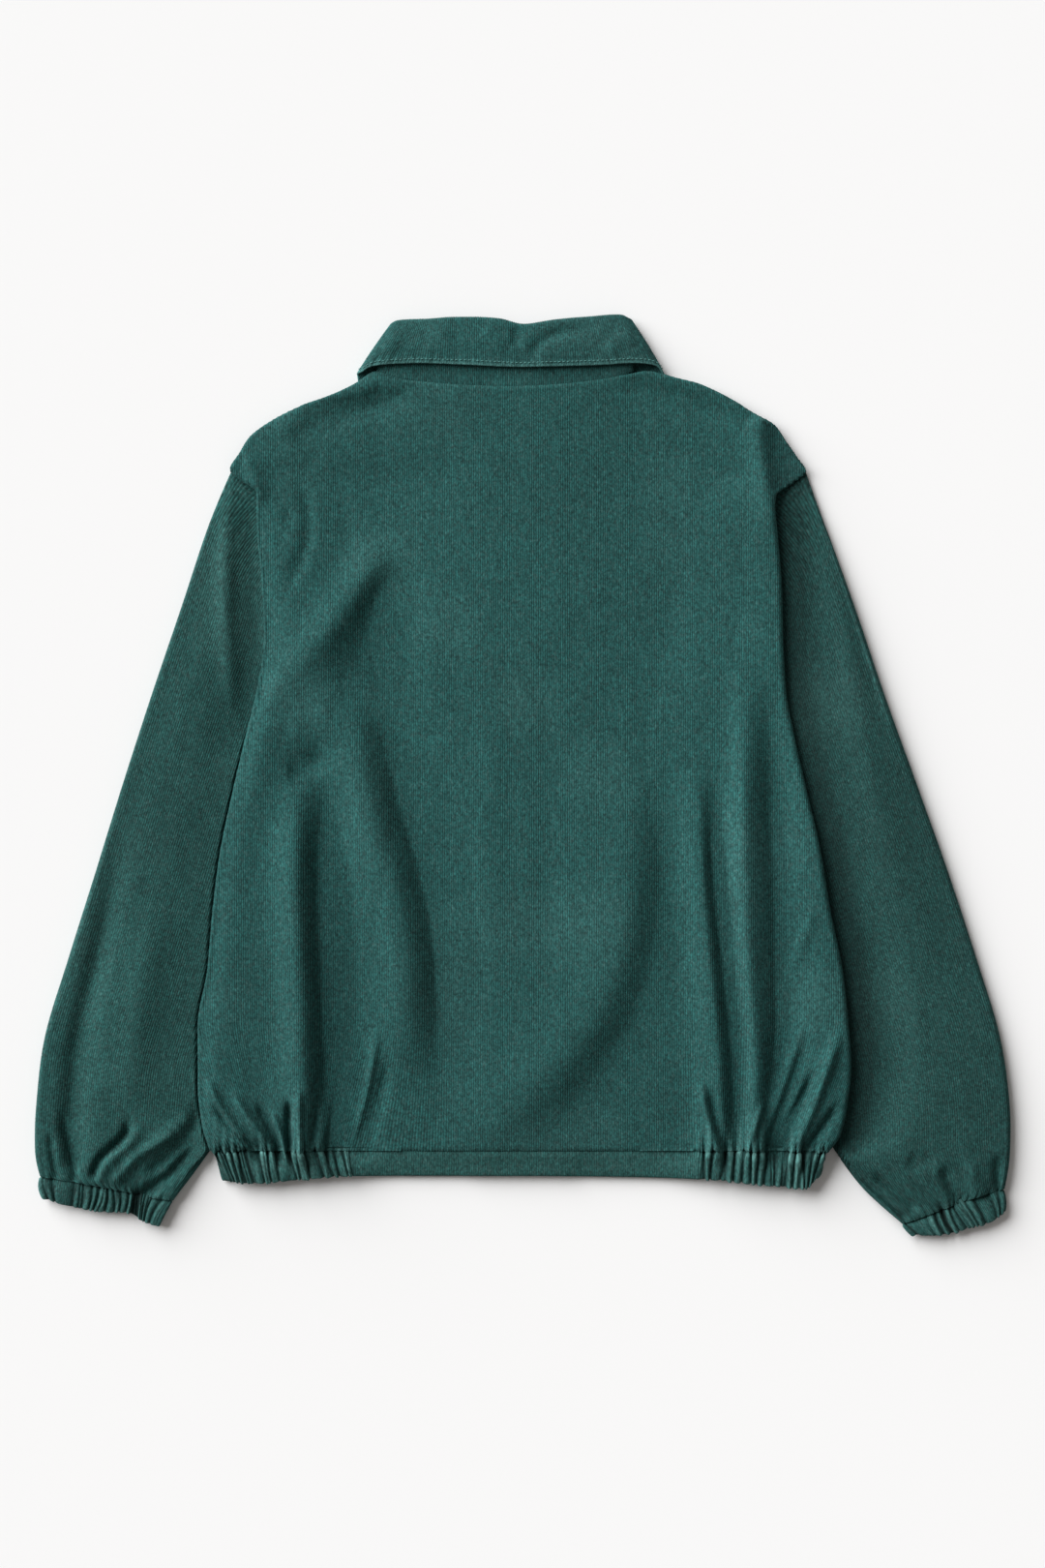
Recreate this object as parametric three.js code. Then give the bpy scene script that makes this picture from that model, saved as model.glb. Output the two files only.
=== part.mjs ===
// A corduroy jacket laid out flat on its front: the back is up and the collar points to +Y.
// Millimetres, +Z up, the surface that it lies on is z = 0, +X is the wearer's right.
import * as THREE from "three";

// Cloth walls and clearances
const CLOTH = 1.5;
const HEM_CLOTH = 2.0;
const SEAM_GAP = 0.35;

// Heights of the layers above the surface, bottom to top
const SLEEVE_PRESSED = 4.05;
const OVER_SLEEVE = SLEEVE_PRESSED + SEAM_GAP;
const OVER_COLLAR = 1.8;
const OVER_BUTTONS = 2.35;
const OVER_LOWER_FRONT = OVER_BUTTONS + CLOTH + 0.7;
const SHOULDER_TURN = OVER_COLLAR + CLOTH + 0.3;
const PANEL_ROOM = 1.25;
const BACK_REST = 2 * CLOTH + PANEL_ROOM;

// How layers ease into each other: each ramp starts at a place and is this wide
const SLEEVE_MARGIN = 20;
const TURN_RAMP = 30;
const FRONT = {
  besideSleeve: 45,
  belowArmpit: 62,
  belowRamp: 26,
  stand: 52,
  standRamp: 32,
  collar: 165,
  collarRamp: 28,
};
const BACK = { besideSleeve: 85, stand: 80, standRamp: 60, collar: 120, collarRamp: 60 };

// How far the back stands off the layers below: along its sides, more of it low down, and in its middle
const BACK_LOFT = {
  sides: 1.2,
  lowSides: 2.6,
  sideReach: 60,
  low: 30,
  lowRamp: 120,
  top: 270,
  topRamp: 80,
  middle: 0.9,
  middleFrom: 150,
  middleRamp: 100,
};

// A folded edge reaches no farther than this, and its section has a point at each of these degrees
const FOLD_REACH = 4.5;
const FOLD_DEGREES = [-90, -42, 0, 42, 90];
const TUBE_FOLD_DEGREES = [-90, -45, 0, 45, 90];

// Where the body starts and ends
const HEM_SEAM = -304;
const ARMPIT = 33;
const SHOULDER_TIP = 250;
const FRONT_NECK = 259.5;
const NECK_POINT = 322;
const NECK_DIP = { depth: 8.4, left: -119, right: 92, ramp: 34, from: 262, height: 62 };

// Button stand and buttons
const STAND_HALF = 15;
const CENTRE_FRONT = { x: -7.6, slope: -0.0176 };
const BUTTON = {
  count: 6,
  first: 235,
  pitch: 99,
  radius: 7.5,
  thick: 2,
  dish: 0.5,
  dishRadius: 5.3,
  rimInner: 5.9,
  rimOuter: 7,
  rimSide: 0.7,
  backRadius: 7.1,
  sides: 12,
};

// A table of rows with named columns.
const table = (names, rows) => {
  const keys = names.split(" ");
  return rows.map((row) => Object.fromEntries(keys.map((key, i) => [key, row[i]])));
};

// Body outline at each height up the back: the folded edge, and where the cloth turned under it ends,
// which is the armhole seam above the armpit and the side seam below it.
const BODY_LEFT = table("y edge under", [
  [325, -124, -118],
  [311, -151, -144],
  [300, -181, -174],
  [290, -201, -194],
  [275, -222, -215],
  [262, -230, -223],
  [248, -238, -231],
  [240, -230, -223],
  [229, -216, -208],
  [202, -216, -201],
  [158, -212, -194],
  [111, -210, -187],
  [76, -215, -177],
  [33, -225, -154],
  [-15, -236, -182],
  [-62, -246, -197],
  [-109, -252, -211],
  [-156, -256, -219],
  [-203, -264, -224],
  [-250, -264, -224],
  [-285, -260, -222],
  [-304, -254, -222],
]);
const BODY_RIGHT = table("y edge under", [
  [325, 115, 109],
  [318, 143, 137],
  [305, 170, 163],
  [294, 188, 181],
  [284, 205, 198],
  [271, 214, 207],
  [258, 223, 216],
  [247, 230, 223],
  [237, 219, 212],
  [225, 204, 198],
  [190, 207, 192],
  [151, 210, 187],
  [111, 211, 182],
  [72, 213, 172],
  [33, 220, 159],
  [-11, 230, 180],
  [-54, 240, 195],
  [-108, 249, 212],
  [-157, 259, 231],
  [-203, 264, 238],
  [-235, 266, 240],
  [-273, 262, 236],
  [-292, 257, 228],
  [-304, 248, 220],
]);

// Where the tucked-in part of each sleeve ends below the armpit.
const SLEEVE_INNER_LEFT = table("y x", [
  [33, -154],
  [7, -155],
  [-22, -159],
  [-65, -166],
  [-109, -177],
  [-156, -191],
  [-205, -207],
  [-249, -225],
  [-288, -252],
  [-304, -290],
]);
const SLEEVE_INNER_RIGHT = table("y x", [
  [33, 159],
  [5, 160],
  [-26, 165],
  [-70, 174],
  [-113, 187],
  [-160, 202],
  [-210, 218],
  [-262, 235],
  [-290, 256],
  [-304, 290],
]);

// Cross-sections of each sleeve, shoulder to cuff: outer fold, inner fold, height of the outer fold,
// and how far the top layer stands up between them.
const SLEEVE_LEFT = table("outX outY inX inY fold loft", [
  [-236, 250, -154, 33, 4.05, 0],
  [-247, 225, -154, 20, 4.7, 2],
  [-259, 193, -155, 7, 7, 4.5],
  [-278, 135, -159, -22, 8.5, 6],
  [-302, 64, -166, -65, 9, 7],
  [-325, -7, -177, -109, 9, 7],
  [-347, -78, -191, -156, 9, 7],
  [-369, -148, -207, -205, 9, 7],
  [-388, -211, -225, -249, 10, 8],
  [-395, -266, -244, -288, 11, 9],
  [-396, -306, -264, -318, 11, 9],
  [-392, -325, -284, -344, 9, 6],
]);
const SLEEVE_RIGHT = table("outX outY inX inY fold loft", [
  [229, 249, 159, 33, 4.05, 0],
  [239, 220, 159, 18, 4.7, 2],
  [251, 188, 160, 5, 7, 4.5],
  [270, 135, 165, -26, 8.5, 6],
  [294, 64, 174, -70, 9, 7],
  [320, -8, 187, -113, 9, 7],
  [345, -78, 202, -160, 9, 7],
  [368, -148, 218, -210, 9, 7],
  [387, -211, 232, -262, 10, 8],
  [395, -266, 248, -296, 11, 9],
  [395, -310, 277, -336, 11, 9],
  [391, -335, 308, -363, 9, 6],
]);

// Cuffs, from the outer end to the inner end: the seam to the sleeve and the free edge.
const CUFF_LEFT = table("seamX seamY edgeX edgeY", [
  [-392, -326, -389, -343],
  [-362, -331, -366, -350],
  [-338, -335, -341, -354],
  [-319, -339, -321, -355],
  [-303, -343, -308, -362],
  [-284, -345.5, -295, -366],
]);
const CUFF_RIGHT = table("seamX seamY edgeX edgeY", [
  [391, -336, 392, -354],
  [367, -343, 378, -363],
  [350, -349, 362, -367],
  [339, -353, 347, -372],
  [321, -360, 332, -373],
  [308, -364.5, 317, -373],
]);
const CUFF = { gathers: 13, height: 8.5, wave: 1.5, gap: 1, pointsPerGather: 3, waveRamp: 0.3, waveFrom: 0.6 };
const CUFF_ROWS = table("share swell", [
  [0, 0],
  [0.3, 1],
  [0.75, 1],
  [1, 0.4],
]);

// Hem band, from the left end to the right end: seam to the back, and the bottom edge.
const HEM = table("x seam edge", [
  [-254, -305.5, -329],
  [-225, -305, -331],
  [-189, -304.5, -328],
  [-142, -304.5, -325],
  [0, -304.5, -325],
  [86, -304.5, -326],
  [155, -305, -328],
  [204, -305, -333],
  [234, -305.5, -335],
  [249, -306, -326],
]);
const HEM_GATHERS = { waves: 14, leftEnd: -140, rightEnd: 141, wave: 1.7, pointsPerWave: 3 };
const HEM_HEIGHT = { sides: 11.5, flat: 5.2, overLap: 0.7, stand: 90, standRamp: 60, before: 40, ramp: 70 };
const HEM_LAP = { lift: HEM_CLOTH + 0.3, from: 52, ramp: 32 };
const HEM_ROWS = table("share swell", [
  [0, 0],
  [0.33, 0.8],
  [0.67, 0.8],
  [1, 0],
]);

// Collar, from its left end at the centre front, round the back of the neck, to its right end:
// the neck seam, the roll line and the free edge of the turned-down leaf, and which way the leaf
// lies from the stand, in degrees from +X towards +Z (-90 is down on the front, 90 is up on the back).
const COLLAR = table("seamX seamY seamZ rollX rollY rollZ edgeX edgeY edgeZ side", [
  [-19, 266, 2.8, -21, 280, 1.9, -80, 198, 0.75, -90],
  [-58, 276, 2.8, -54, 302, 1.9, -103, 228, 0.75, -90],
  [-92, 297, 2.8, -85, 336, 1.9, -123, 272, 0.75, -90],
  [-108, 314, 2.9, -100, 356, 2.1, -131, 306, 0.8, -95],
  [-116, 325.5, 3.4, -105, 363, 3.2, -134, 324, 1.1, -135],
  [-118, 329, 4.4, -107, 365, 4.7, -134, 327.5, 5, -180],
  [-115, 328, 5.5, -105, 367, 6.4, -132, 329, 8.6, -225],
  [-104, 324, 6, -98, 368.5, 7.6, -121, 333, 10.2, -262],
  [-79, 318.5, 6, -79, 370, 8, -84, 335, 10.8, -270],
  [-30, 316, 6, -30, 369.5, 8, -30, 334, 10.8, -270],
  [20, 316.5, 6, 20, 368, 8, 20, 333, 10.8, -270],
  [58, 320.5, 6, 55, 370.5, 8, 62, 334, 10.8, -270],
  [77, 325, 6, 76, 372.5, 7.8, 92, 335, 10.4, -276],
  [86, 329, 5.5, 83, 371, 6.4, 109, 333, 8.6, -315],
  [89, 330, 4.4, 86, 369, 4.7, 114, 328, 5, -360],
  [86, 326.5, 3.4, 84, 366, 3.2, 112, 325.5, 1.1, -405],
  [78, 315, 2.9, 75, 357, 2.1, 106, 305, 0.8, -445],
  [64, 298, 2.8, 59, 336, 1.9, 97, 270, 0.75, -450],
  [34, 277, 2.8, 31, 302, 1.9, 78, 228, 0.75, -450],
  [-5, 266, 2.8, -3, 280, 1.9, 54, 198, 0.75, -450],
]);
const ROLL_RADIUS = 1.1;
const ROLL_DIAGONAL = 0.7;
const COLLAR_ROWS = 25;
const NECK_ROWS_PER_FRONT = 8;

// Creases: each runs along a bow from its start, past its middle, to its end, and reaches this far
// to each side. Rise is positive for a ridge and negative for a trough.
const CREASE_STEPS = 8;
const CREASE = "x0 y0 x1 y1 x2 y2 reach rise";
const BACK_CREASES = table(CREASE, [
  [-175, -117, -166, -211, -167, -304, 8, -3.8],
  [-148, -156, -152, -227, -159, -304, 7, 2.6],
  [-129, -222, -140, -266, -148, -304, 6, -2.6],
  [-184, -262, -192, -285, -207, -297, 7, -3.2],
  [-181, -250, -182, -280, -182, -304, 5, 2.2],
  [-246, -264, -230, -285, -217, -300, 6, -3],
  [-178, -17, -174, -117, -176, -217, 14, -2],
  [-189, 9, -170, 12, -150, 8, 8, -1.4],
  [-123, 59, -84, -77, -78, -227, 22, -2],
  [-159, 108, -166, 92, -178, 76, 12, -1.2],
  [-212, 207, -206, 203, -200, 198, 5, -1.4],
  [100, -153, 73, -213, -6, -288, 22, -2.4],
  [166, -168, 161, -235, 157, -304, 8, -3.2],
  [178, -107, 185, -198, 178, -304, 8, 2.6],
  [199, -107, 196, -195, 193, -300, 8, -2.8],
  [217, -138, 221, -219, 209, -304, 9, 2.2],
  [235, -250, 222, -280, 205, -304, 7, -2.8],
  [211, 81, 217, 65, 224, 47, 6, -1.4],
  [-251, -168, -256, -225, -240, -300, 5, -2.6],
]);
const SLEEVE_LEFT_CREASES = table(CREASE, [
  [-377, -236, -374, -280, -370, -322, 8, -2.8],
  [-321, -285, -332, -301, -347, -322, 7, -3.4],
  [-273, -277, -290, -288, -308, -305, 8, 2.4],
  [-262, -305, -280, -318, -300, -338, 7, -3],
  [-300, 60, -318, -30, -335, -120, 24, -1.4],
]);
const SLEEVE_RIGHT_CREASES = table(CREASE, [
  [222, 237, 227, 210, 236, 150, 8, 2.2],
  [251, -117, 262, -200, 267, -293, 12, -2.4],
  [343, -325, 347, -335, 353, -345, 6, -2.4],
  [384, -305, 385, -322, 386, -338, 6, -2.2],
  [300, 20, 322, -80, 340, -170, 24, -1.4],
]);

const ease = (t) => {
  const s = Math.min(1, Math.max(0, t));
  return s * s * (3 - 2 * s);
};
const mix = (a, b, t) => a + (b - a) * t;
const centreFront = (y) => CENTRE_FRONT.x + CENTRE_FRONT.slope * y;

// Straight interpolation of a named column of a table, against another column.
function read(rows, key, at, column) {
  const falls = rows[0][key] > rows[rows.length - 1][key];
  const ordered = falls ? [...rows].reverse() : rows;
  const next = Math.max(1, ordered.findIndex((row) => row[key] >= at));
  const end = at > ordered[ordered.length - 1][key];
  const j = end ? ordered.length - 1 : next;
  const a = ordered[j - 1];
  const b = ordered[j];
  const t = Math.min(1, Math.max(0, (at - a[key]) / (b[key] - a[key])));
  return mix(a[column], b[column], t);
}

// A smooth row of a table at a fraction of the way through it.
function rowAt(rows, fraction) {
  const place = fraction * (rows.length - 1);
  const i = Math.min(rows.length - 2, Math.floor(place));
  const t = place - i;
  const before = rows[Math.max(0, i - 1)];
  const after = rows[Math.min(rows.length - 1, i + 2)];
  const result = {};
  for (const key of Object.keys(rows[0])) {
    const [p0, p1, p2, p3] = [before[key], rows[i][key], rows[i + 1][key], after[key]];
    const bend = (2 * p0 - 5 * p1 + 4 * p2 - p3) * t * t + (3 * p1 - p0 - 3 * p2 + p3) * t * t * t;
    result[key] = 0.5 * (2 * p1 + (p2 - p0) * t + bend);
  }
  return result;
}

// Height that a list of creases adds at a point.
function creaseHeight(creases, x, y) {
  let height = 0;
  for (const c of creases) {
    let nearest = Infinity;
    let along = 0;
    for (let i = 0; i < CREASE_STEPS; i += 1) {
      const [ax, ay] = bow(c, i / CREASE_STEPS);
      const [bx, by] = bow(c, (i + 1) / CREASE_STEPS);
      const [dx, dy] = [bx - ax, by - ay];
      const t = Math.min(1, Math.max(0, ((x - ax) * dx + (y - ay) * dy) / (dx * dx + dy * dy)));
      const distance = Math.hypot(x - ax - t * dx, y - ay - t * dy);
      if (distance < nearest) {
        nearest = distance;
        along = (i + t) / CREASE_STEPS;
      }
    }
    height += c.rise * Math.exp(-((nearest / c.reach) ** 2)) * ease(along * 3 + 0.15);
  }
  return height;
}

// A point on a crease's bow.
function bow(c, t) {
  const [a, b, d] = [(1 - t) * (1 - t), 2 * t * (1 - t), t * t];
  return [a * c.x0 + b * c.x1 + d * c.x2, a * c.y0 + b * c.y1 + d * c.y2];
}

// Where the sleeve under the body ends: the armhole above the armpit, its inner fold below it.
function sleeveLimit(side, y) {
  if (side < 0) {
    return y > ARMPIT ? read(BODY_LEFT, "y", y, "under") : read(SLEEVE_INNER_LEFT, "y", y, "x");
  }
  return y > ARMPIT ? read(BODY_RIGHT, "y", y, "under") : read(SLEEVE_INNER_RIGHT, "y", y, "x");
}

// Lift of the layers that pass over the sleeves, easing down over this width beside them.
function liftOverSleeves(x, y, width) {
  const left = ease((sleeveLimit(-1, y) + width - x) / (width - SLEEVE_MARGIN));
  const right = ease((x - sleeveLimit(1, y) + width) / (width - SLEEVE_MARGIN));
  return turnHeight(y) * Math.max(left, right);
}

// Underside of a front panel. Above the armpit its armhole edge stays down beside the sleeve.
function frontHeight(x, y, overlap) {
  const below = ease((FRONT.belowArmpit - y) / FRONT.belowRamp);
  const stand = overlap * ease((FRONT.stand - Math.abs(x - centreFront(y))) / FRONT.standRamp);
  const collar = OVER_COLLAR * ease((y - FRONT.collar) / FRONT.collarRamp);
  const height = Math.min(y, ARMPIT - 0.01);
  const sleeve = below > 0 ? liftOverSleeves(x, height, FRONT.besideSleeve) * below : 0;
  return Math.max(stand, collar, sleeve);
}

// Underside of the cloth that the back turns under at its edges.
function turnHeight(y) {
  return mix(OVER_SLEEVE, SHOULDER_TURN, ease((y - SHOULDER_TIP) / TURN_RAMP));
}

// Upper face of the back.
function backHeight(x, y, edgeDistance) {
  const under = liftOverSleeves(x, y, BACK.besideSleeve);
  const stand = OVER_LOWER_FRONT * ease((BACK.stand - Math.abs(x - centreFront(y))) / BACK.standRamp);
  const collar = OVER_COLLAR * ease((y - BACK.collar) / BACK.collarRamp);
  const rest = Math.max(under, stand, collar) + BACK_REST;
  const loft = BACK_LOFT;
  const sides = (loft.sides + loft.lowSides * ease((loft.low - y) / loft.lowRamp)) *
    ease((loft.top - y) / loft.topRamp) * Math.exp(-((edgeDistance / loft.sideReach) ** 2));
  const soft = sides + loft.middle * ease((loft.middleFrom - edgeDistance) / loft.middleRamp);
  const floor = Math.max(under, stand) + 2 * CLOTH + SEAM_GAP;
  return Math.max(floor, rest + soft + creaseHeight(BACK_CREASES, x, y));
}

// Offsets a section's outline inwards by the wall. The outline is a list of { a, z, wave }, and the
// inside of the wall is plain under any wave.
function wallPoints(outline, wall, ring) {
  const count = outline.length;
  return outline.map((point, i) => {
    const before = outline[ring ? (i + count - 1) % count : Math.max(0, i - 1)];
    const after = outline[ring ? (i + 1) % count : Math.min(count - 1, i + 1)];
    const length = Math.hypot(after.a - before.a, after.z - before.z);
    const normal = [(before.z - after.z) / length, (after.a - before.a) / length];
    const wave = point.wave || 0;
    return {
      outer: [point.a + normal[0] * wave, point.z + normal[1] * wave],
      inner: [point.a - normal[0] * wall, point.z - normal[1] * wall],
    };
  });
}

// Closes two grids of points, one for each face of a wall, into a solid.
function shell(outer, inner, ring) {
  const rows = outer.length;
  const columns = outer[0].length;
  const positions = [...outer.flat(), ...inner.flat()].flat();
  const at = (face, i, j) => face * rows * columns + i * columns + (j % columns);
  const triangles = [];
  const quad = (a, b, c, d) => triangles.push(a, b, c, a, c, d);
  const last = ring ? columns : columns - 1;
  for (let i = 0; i < rows - 1; i += 1) {
    for (let j = 0; j < last; j += 1) {
      quad(at(0, i, j), at(0, i, j + 1), at(0, i + 1, j + 1), at(0, i + 1, j));
      quad(at(1, i, j), at(1, i + 1, j), at(1, i + 1, j + 1), at(1, i, j + 1));
    }
  }
  for (let j = 0; j < last; j += 1) {
    quad(at(0, 0, j), at(1, 0, j), at(1, 0, j + 1), at(0, 0, j + 1));
    quad(at(0, rows - 1, j), at(0, rows - 1, j + 1), at(1, rows - 1, j + 1), at(1, rows - 1, j));
  }
  if (!ring) {
    for (let i = 0; i < rows - 1; i += 1) {
      quad(at(0, i, 0), at(0, i + 1, 0), at(1, i + 1, 0), at(1, i, 0));
      quad(at(0, i, last), at(1, i, last), at(1, i + 1, last), at(0, i + 1, last));
    }
  }
  return facingOut(positions, triangles);
}

// Makes the geometry, turning every face round if the volume came out negative.
function facingOut(positions, triangles) {
  const point = (i) => new THREE.Vector3().fromArray(positions, 3 * i);
  let volume = 0;
  for (let i = 0; i < triangles.length; i += 3) {
    const [a, b, c] = [0, 1, 2].map((k) => point(triangles[i + k]));
    volume += a.dot(b.cross(c));
  }
  if (volume < 0) {
    triangles.reverse();
  }
  const geometry = new THREE.BufferGeometry();
  geometry.setAttribute("position", new THREE.Float32BufferAttribute(positions, 3));
  geometry.setIndex(triangles);
  geometry.computeVertexNormals();
  return geometry;
}

// Points of a half-round fold from the lower face to the upper one, at the given side.
function foldPoints(edge, low, high, side) {
  const radius = (high - low) / 2;
  const across = Math.min(radius, FOLD_REACH);
  return FOLD_DEGREES.map((degrees) => {
    const angle = (degrees * Math.PI) / 180;
    return { a: edge - side * across * (1 - Math.cos(angle)), z: low + radius * (1 + Math.sin(angle)) };
  });
}

// Heights of the rows of back and fronts below the armpits, where their side seams meet.
const SIDE_SEAM_ROWS = [ARMPIT, -2, -38, -75, -110, -145, -178, -208, -235, -260, -282, HEM_SEAM];

// The back: a row for each height from the neck to the hem, and points at these shares across each row.
const BACK_ROWS = [
  324.6, 316, 305, 295, 285, 275, 262, 248, 239, 229, 204, 170, 135, 100, 66, ...SIDE_SEAM_ROWS,
];
const BACK_ACROSS = [
  0.03, 0.06, 0.09, 0.12, 0.15, 0.18, 0.21, 0.25, 0.31, 0.38, 0.46, 0.54, 0.62, 0.69, 0.75, 0.79, 0.82, 0.85,
  0.88, 0.91, 0.94, 0.97,
];
const EDGE_INSET = 4;
function backGeometry() {
  const outer = [];
  const inner = [];
  for (const y of BACK_ROWS) {
    const low = turnHeight(y);
    const edgeLeft = read(BODY_LEFT, "y", y, "edge");
    const edgeRight = read(BODY_RIGHT, "y", y, "edge");
    const underLeft = read(BODY_LEFT, "y", y, "under") + SEAM_GAP;
    const underRight = read(BODY_RIGHT, "y", y, "under") - SEAM_GAP;
    const foldLeft = foldPoints(edgeLeft, low, backHeight(edgeLeft + EDGE_INSET, y, 0), -1);
    const foldRight = foldPoints(edgeRight, low, backHeight(edgeRight - EDGE_INSET, y, 0), 1);
    const start = foldLeft[foldLeft.length - 1].a;
    const end = foldRight[foldRight.length - 1].a;
    const top = BACK_ACROSS.map((t) => {
      const a = mix(start, end, t);
      return { a, z: backHeight(a, y, Math.min(a - edgeLeft, edgeRight - a)) };
    });
    const turned = (under, fold) => [0, 0.5].map((t) => ({ a: mix(under, fold.a, t), z: low }));
    const outline = [
      ...turned(underLeft, foldLeft[0]),
      ...foldLeft,
      ...top,
      ...foldRight.reverse(),
      ...turned(underRight, foldRight[foldRight.length - 1]).reverse(),
    ];
    const wall = wallPoints(outline, CLOTH, false);
    const place = ([a, z]) => [a, y - neckDip(a, y), z];
    outer.push(wall.map((p) => place(p.outer)));
    inner.push(wall.map((p) => place(p.inner)));
  }
  return shell(outer, inner, false);
}

// How far the neckline of the back dips below the points of the neck; it fades out below.
function neckDip(x, y) {
  const left = ease((x - NECK_DIP.left) / NECK_DIP.ramp);
  const right = ease((NECK_DIP.right - x) / NECK_DIP.ramp);
  return NECK_DIP.depth * left * right * ease((y - NECK_DIP.from) / NECK_DIP.height);
}

// The points of the collar's neck seam that border one front, from the neck point to the centre.
function frontNeck(side) {
  const seam = Array.from({ length: COLLAR_ROWS }, (_, i) => rowAt(COLLAR, i / (COLLAR_ROWS - 1)));
  const half = side < 0 ? seam.slice(0, NECK_ROWS_PER_FRONT) : seam.slice(-NECK_ROWS_PER_FRONT).reverse();
  return half.filter((p) => p.seamY > FRONT_NECK + STAND_HALF / 2 && p.seamY < NECK_POINT).reverse();
}

// One front panel, flat on the surface apart from what lies under it, with points at these shares across.
const FRONT_ACROSS = [0, 0.08, 0.16, 0.25, 0.42, 0.58, 0.7, 0.8, 0.9, 1];
const ABOVE_ARMPIT_ROWS = [60, 47];
function frontGeometry(side, overlap) {
  const body = side < 0 ? BODY_LEFT : BODY_RIGHT;
  const neck = frontNeck(side);
  const armhole = body.map((row) => row.y).filter((y) => y < FRONT_NECK - 2 && y > ARMPIT + 2);
  const aboveArmpit = [FRONT_NECK - 0.5, ...armhole, ...ABOVE_ARMPIT_ROWS];
  const heights = [...neck.map((p) => p.seamY), ...aboveArmpit, ...SIDE_SEAM_ROWS];
  const lower = [];
  const upper = [];
  for (const y of heights) {
    const standEdge = centreFront(y) - side * STAND_HALF;
    const neckPoint = neck.find((p) => p.seamY === y);
    const start = neckPoint ? neckPoint.seamX + side * SEAM_GAP * 2 : standEdge;
    const end = read(body, "y", y, "under") - side * 2 * SEAM_GAP;
    const points = FRONT_ACROSS.map((t) => {
      const x = mix(start, end, t);
      return [x, y, frontHeight(x, y, overlap)];
    });
    lower.push(points);
    upper.push(points.map(([x, py, z]) => [x, py, z + CLOTH]));
  }
  return shell(lower, upper, false);
}

// A flattened tube's outline: along the surface, round its outer fold, back over its top, round its
// inner fold. Across runs from 0 at the outer fold to the width at the inner one.
function flatTube({ width, outerFold, innerFold, height, bottom, top }) {
  const outerRadius = Math.min(outerFold / 2, FOLD_REACH);
  const innerRadius = Math.min(innerFold / 2, FOLD_REACH);
  const arc = (centre, radius, fold) =>
    TUBE_FOLD_DEGREES.map((degrees) => {
      const angle = (degrees * Math.PI) / 180;
      return { a: centre + radius * Math.cos(angle), z: (fold / 2) * (1 + Math.sin(angle)) };
    });
  const first = width - innerRadius;
  const floor = bottom.map((t) => ({ a: t * width, z: 0 }));
  const over = top.map((t) => ({ a: t * width, z: height(t * width, t) }));
  const outerArc = arc(outerRadius, -outerRadius, outerFold);
  const innerArc = arc(first, innerRadius, innerFold).reverse();
  return [...floor, ...outerArc, ...over, ...innerArc];
}

// One sleeve: rings from the armhole to the cuff. The first rings follow the armhole seam.
const SLEEVE_RINGS = 19;
const SLEEVE_ACROSS = [0.05, 0.1, 0.16, 0.23, 0.32, 0.42, 0.53, 0.64, 0.74, 0.84, 0.93];
const SLEEVE_EASE = {
  arm: 0.16,
  cuff: 0.1,
  inner: 0.2,
  innerFrom: 0.84,
  foldFrom: 0.86,
  outerFold: 40,
  besideBody: 7,
  bodyRamp: 28,
};
const SLEEVE_SEAM_TOP = 248;
const SEAM_SHARE_FROM_FOLD = 0.06;
function sleeveGeometry(side, rows, body, cuff, creases) {
  const along = SLEEVE_EASE;
  const arm = body.filter((row) => row.y <= SLEEVE_SEAM_TOP && row.y > ARMPIT - 1);
  const armPoints = [{ y: SHOULDER_TIP, under: rows[0].outX }, ...arm];
  const seamShare = arm.map((row) => (SHOULDER_TIP - row.y) / (SHOULDER_TIP - ARMPIT));
  const inSeam = (f) => f > SEAM_SHARE_FROM_FOLD && f < 1 - SEAM_SHARE_FROM_FOLD;
  const bottom = seamShare.filter(inSeam).reverse();
  const outer = [];
  const inner = [];
  for (let i = 0; i < SLEEVE_RINGS; i += 1) {
    const u = i / (SLEEVE_RINGS - 1);
    const row = rowAt(rows, u);
    const width = Math.hypot(row.inX - row.outX, row.inY - row.outY);
    const atArm = 1 - ease(u / along.arm);
    const atCuff = ease((u - 1 + along.cuff) / along.cuff);
    const nearCuff = ease((u - along.innerFrom) / along.cuff);
    const line = (a) => {
      const f = Math.min(1, Math.max(0, a / width));
      const [x, y] = [mix(row.outX, row.inX, f), mix(row.outY, row.inY, f)];
      const armY = mix(SHOULDER_TIP, ARMPIT, f);
      const armX = read(armPoints, "y", armY, "under");
      const seam = rowAt(cuff, f);
      const [dx, dy] = [seam.seamX - x, seam.seamY + CUFF.gap - y];
      return [x + (armX - x) * atArm + dx * atCuff, y + (armY - y) * atArm + dy * atCuff];
    };
    const innerFold = mix(SLEEVE_PRESSED, row.fold, ease((u - along.foldFrom) / along.cuff));
    const height = (a, t) => {
      const [x, y] = line(a);
      const edge = read(body, "y", y, "edge");
      const clear = ease((side * (x - edge) - along.besideBody) / along.bodyRamp);
      const free = y < HEM_SEAM - FOLD_REACH ? 1 : clear;
      const middle = SLEEVE_PRESSED + Math.max(0, free * (row.loft + creaseHeight(creases, x, y)));
      const nearOuter = (1 - ease(a / along.outerFold)) * ease(u / along.cuff);
      const top = mix(middle, Math.max(SLEEVE_PRESSED, row.fold), nearOuter);
      return mix(top, innerFold, ease((t - 1 + along.inner) / along.inner) * nearCuff);
    };
    const outline = flatTube({
      width,
      outerFold: row.fold,
      innerFold,
      height,
      bottom,
      top: SLEEVE_ACROSS,
    });
    const wall = wallPoints(outline, CLOTH, true);
    const place = ([a, z]) => [...line(a), Math.max(0, z)];
    outer.push(wall.map((p) => place(p.outer)));
    inner.push(wall.map((p) => place(p.inner)));
  }
  return shell(outer, inner, true);
}

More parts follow.
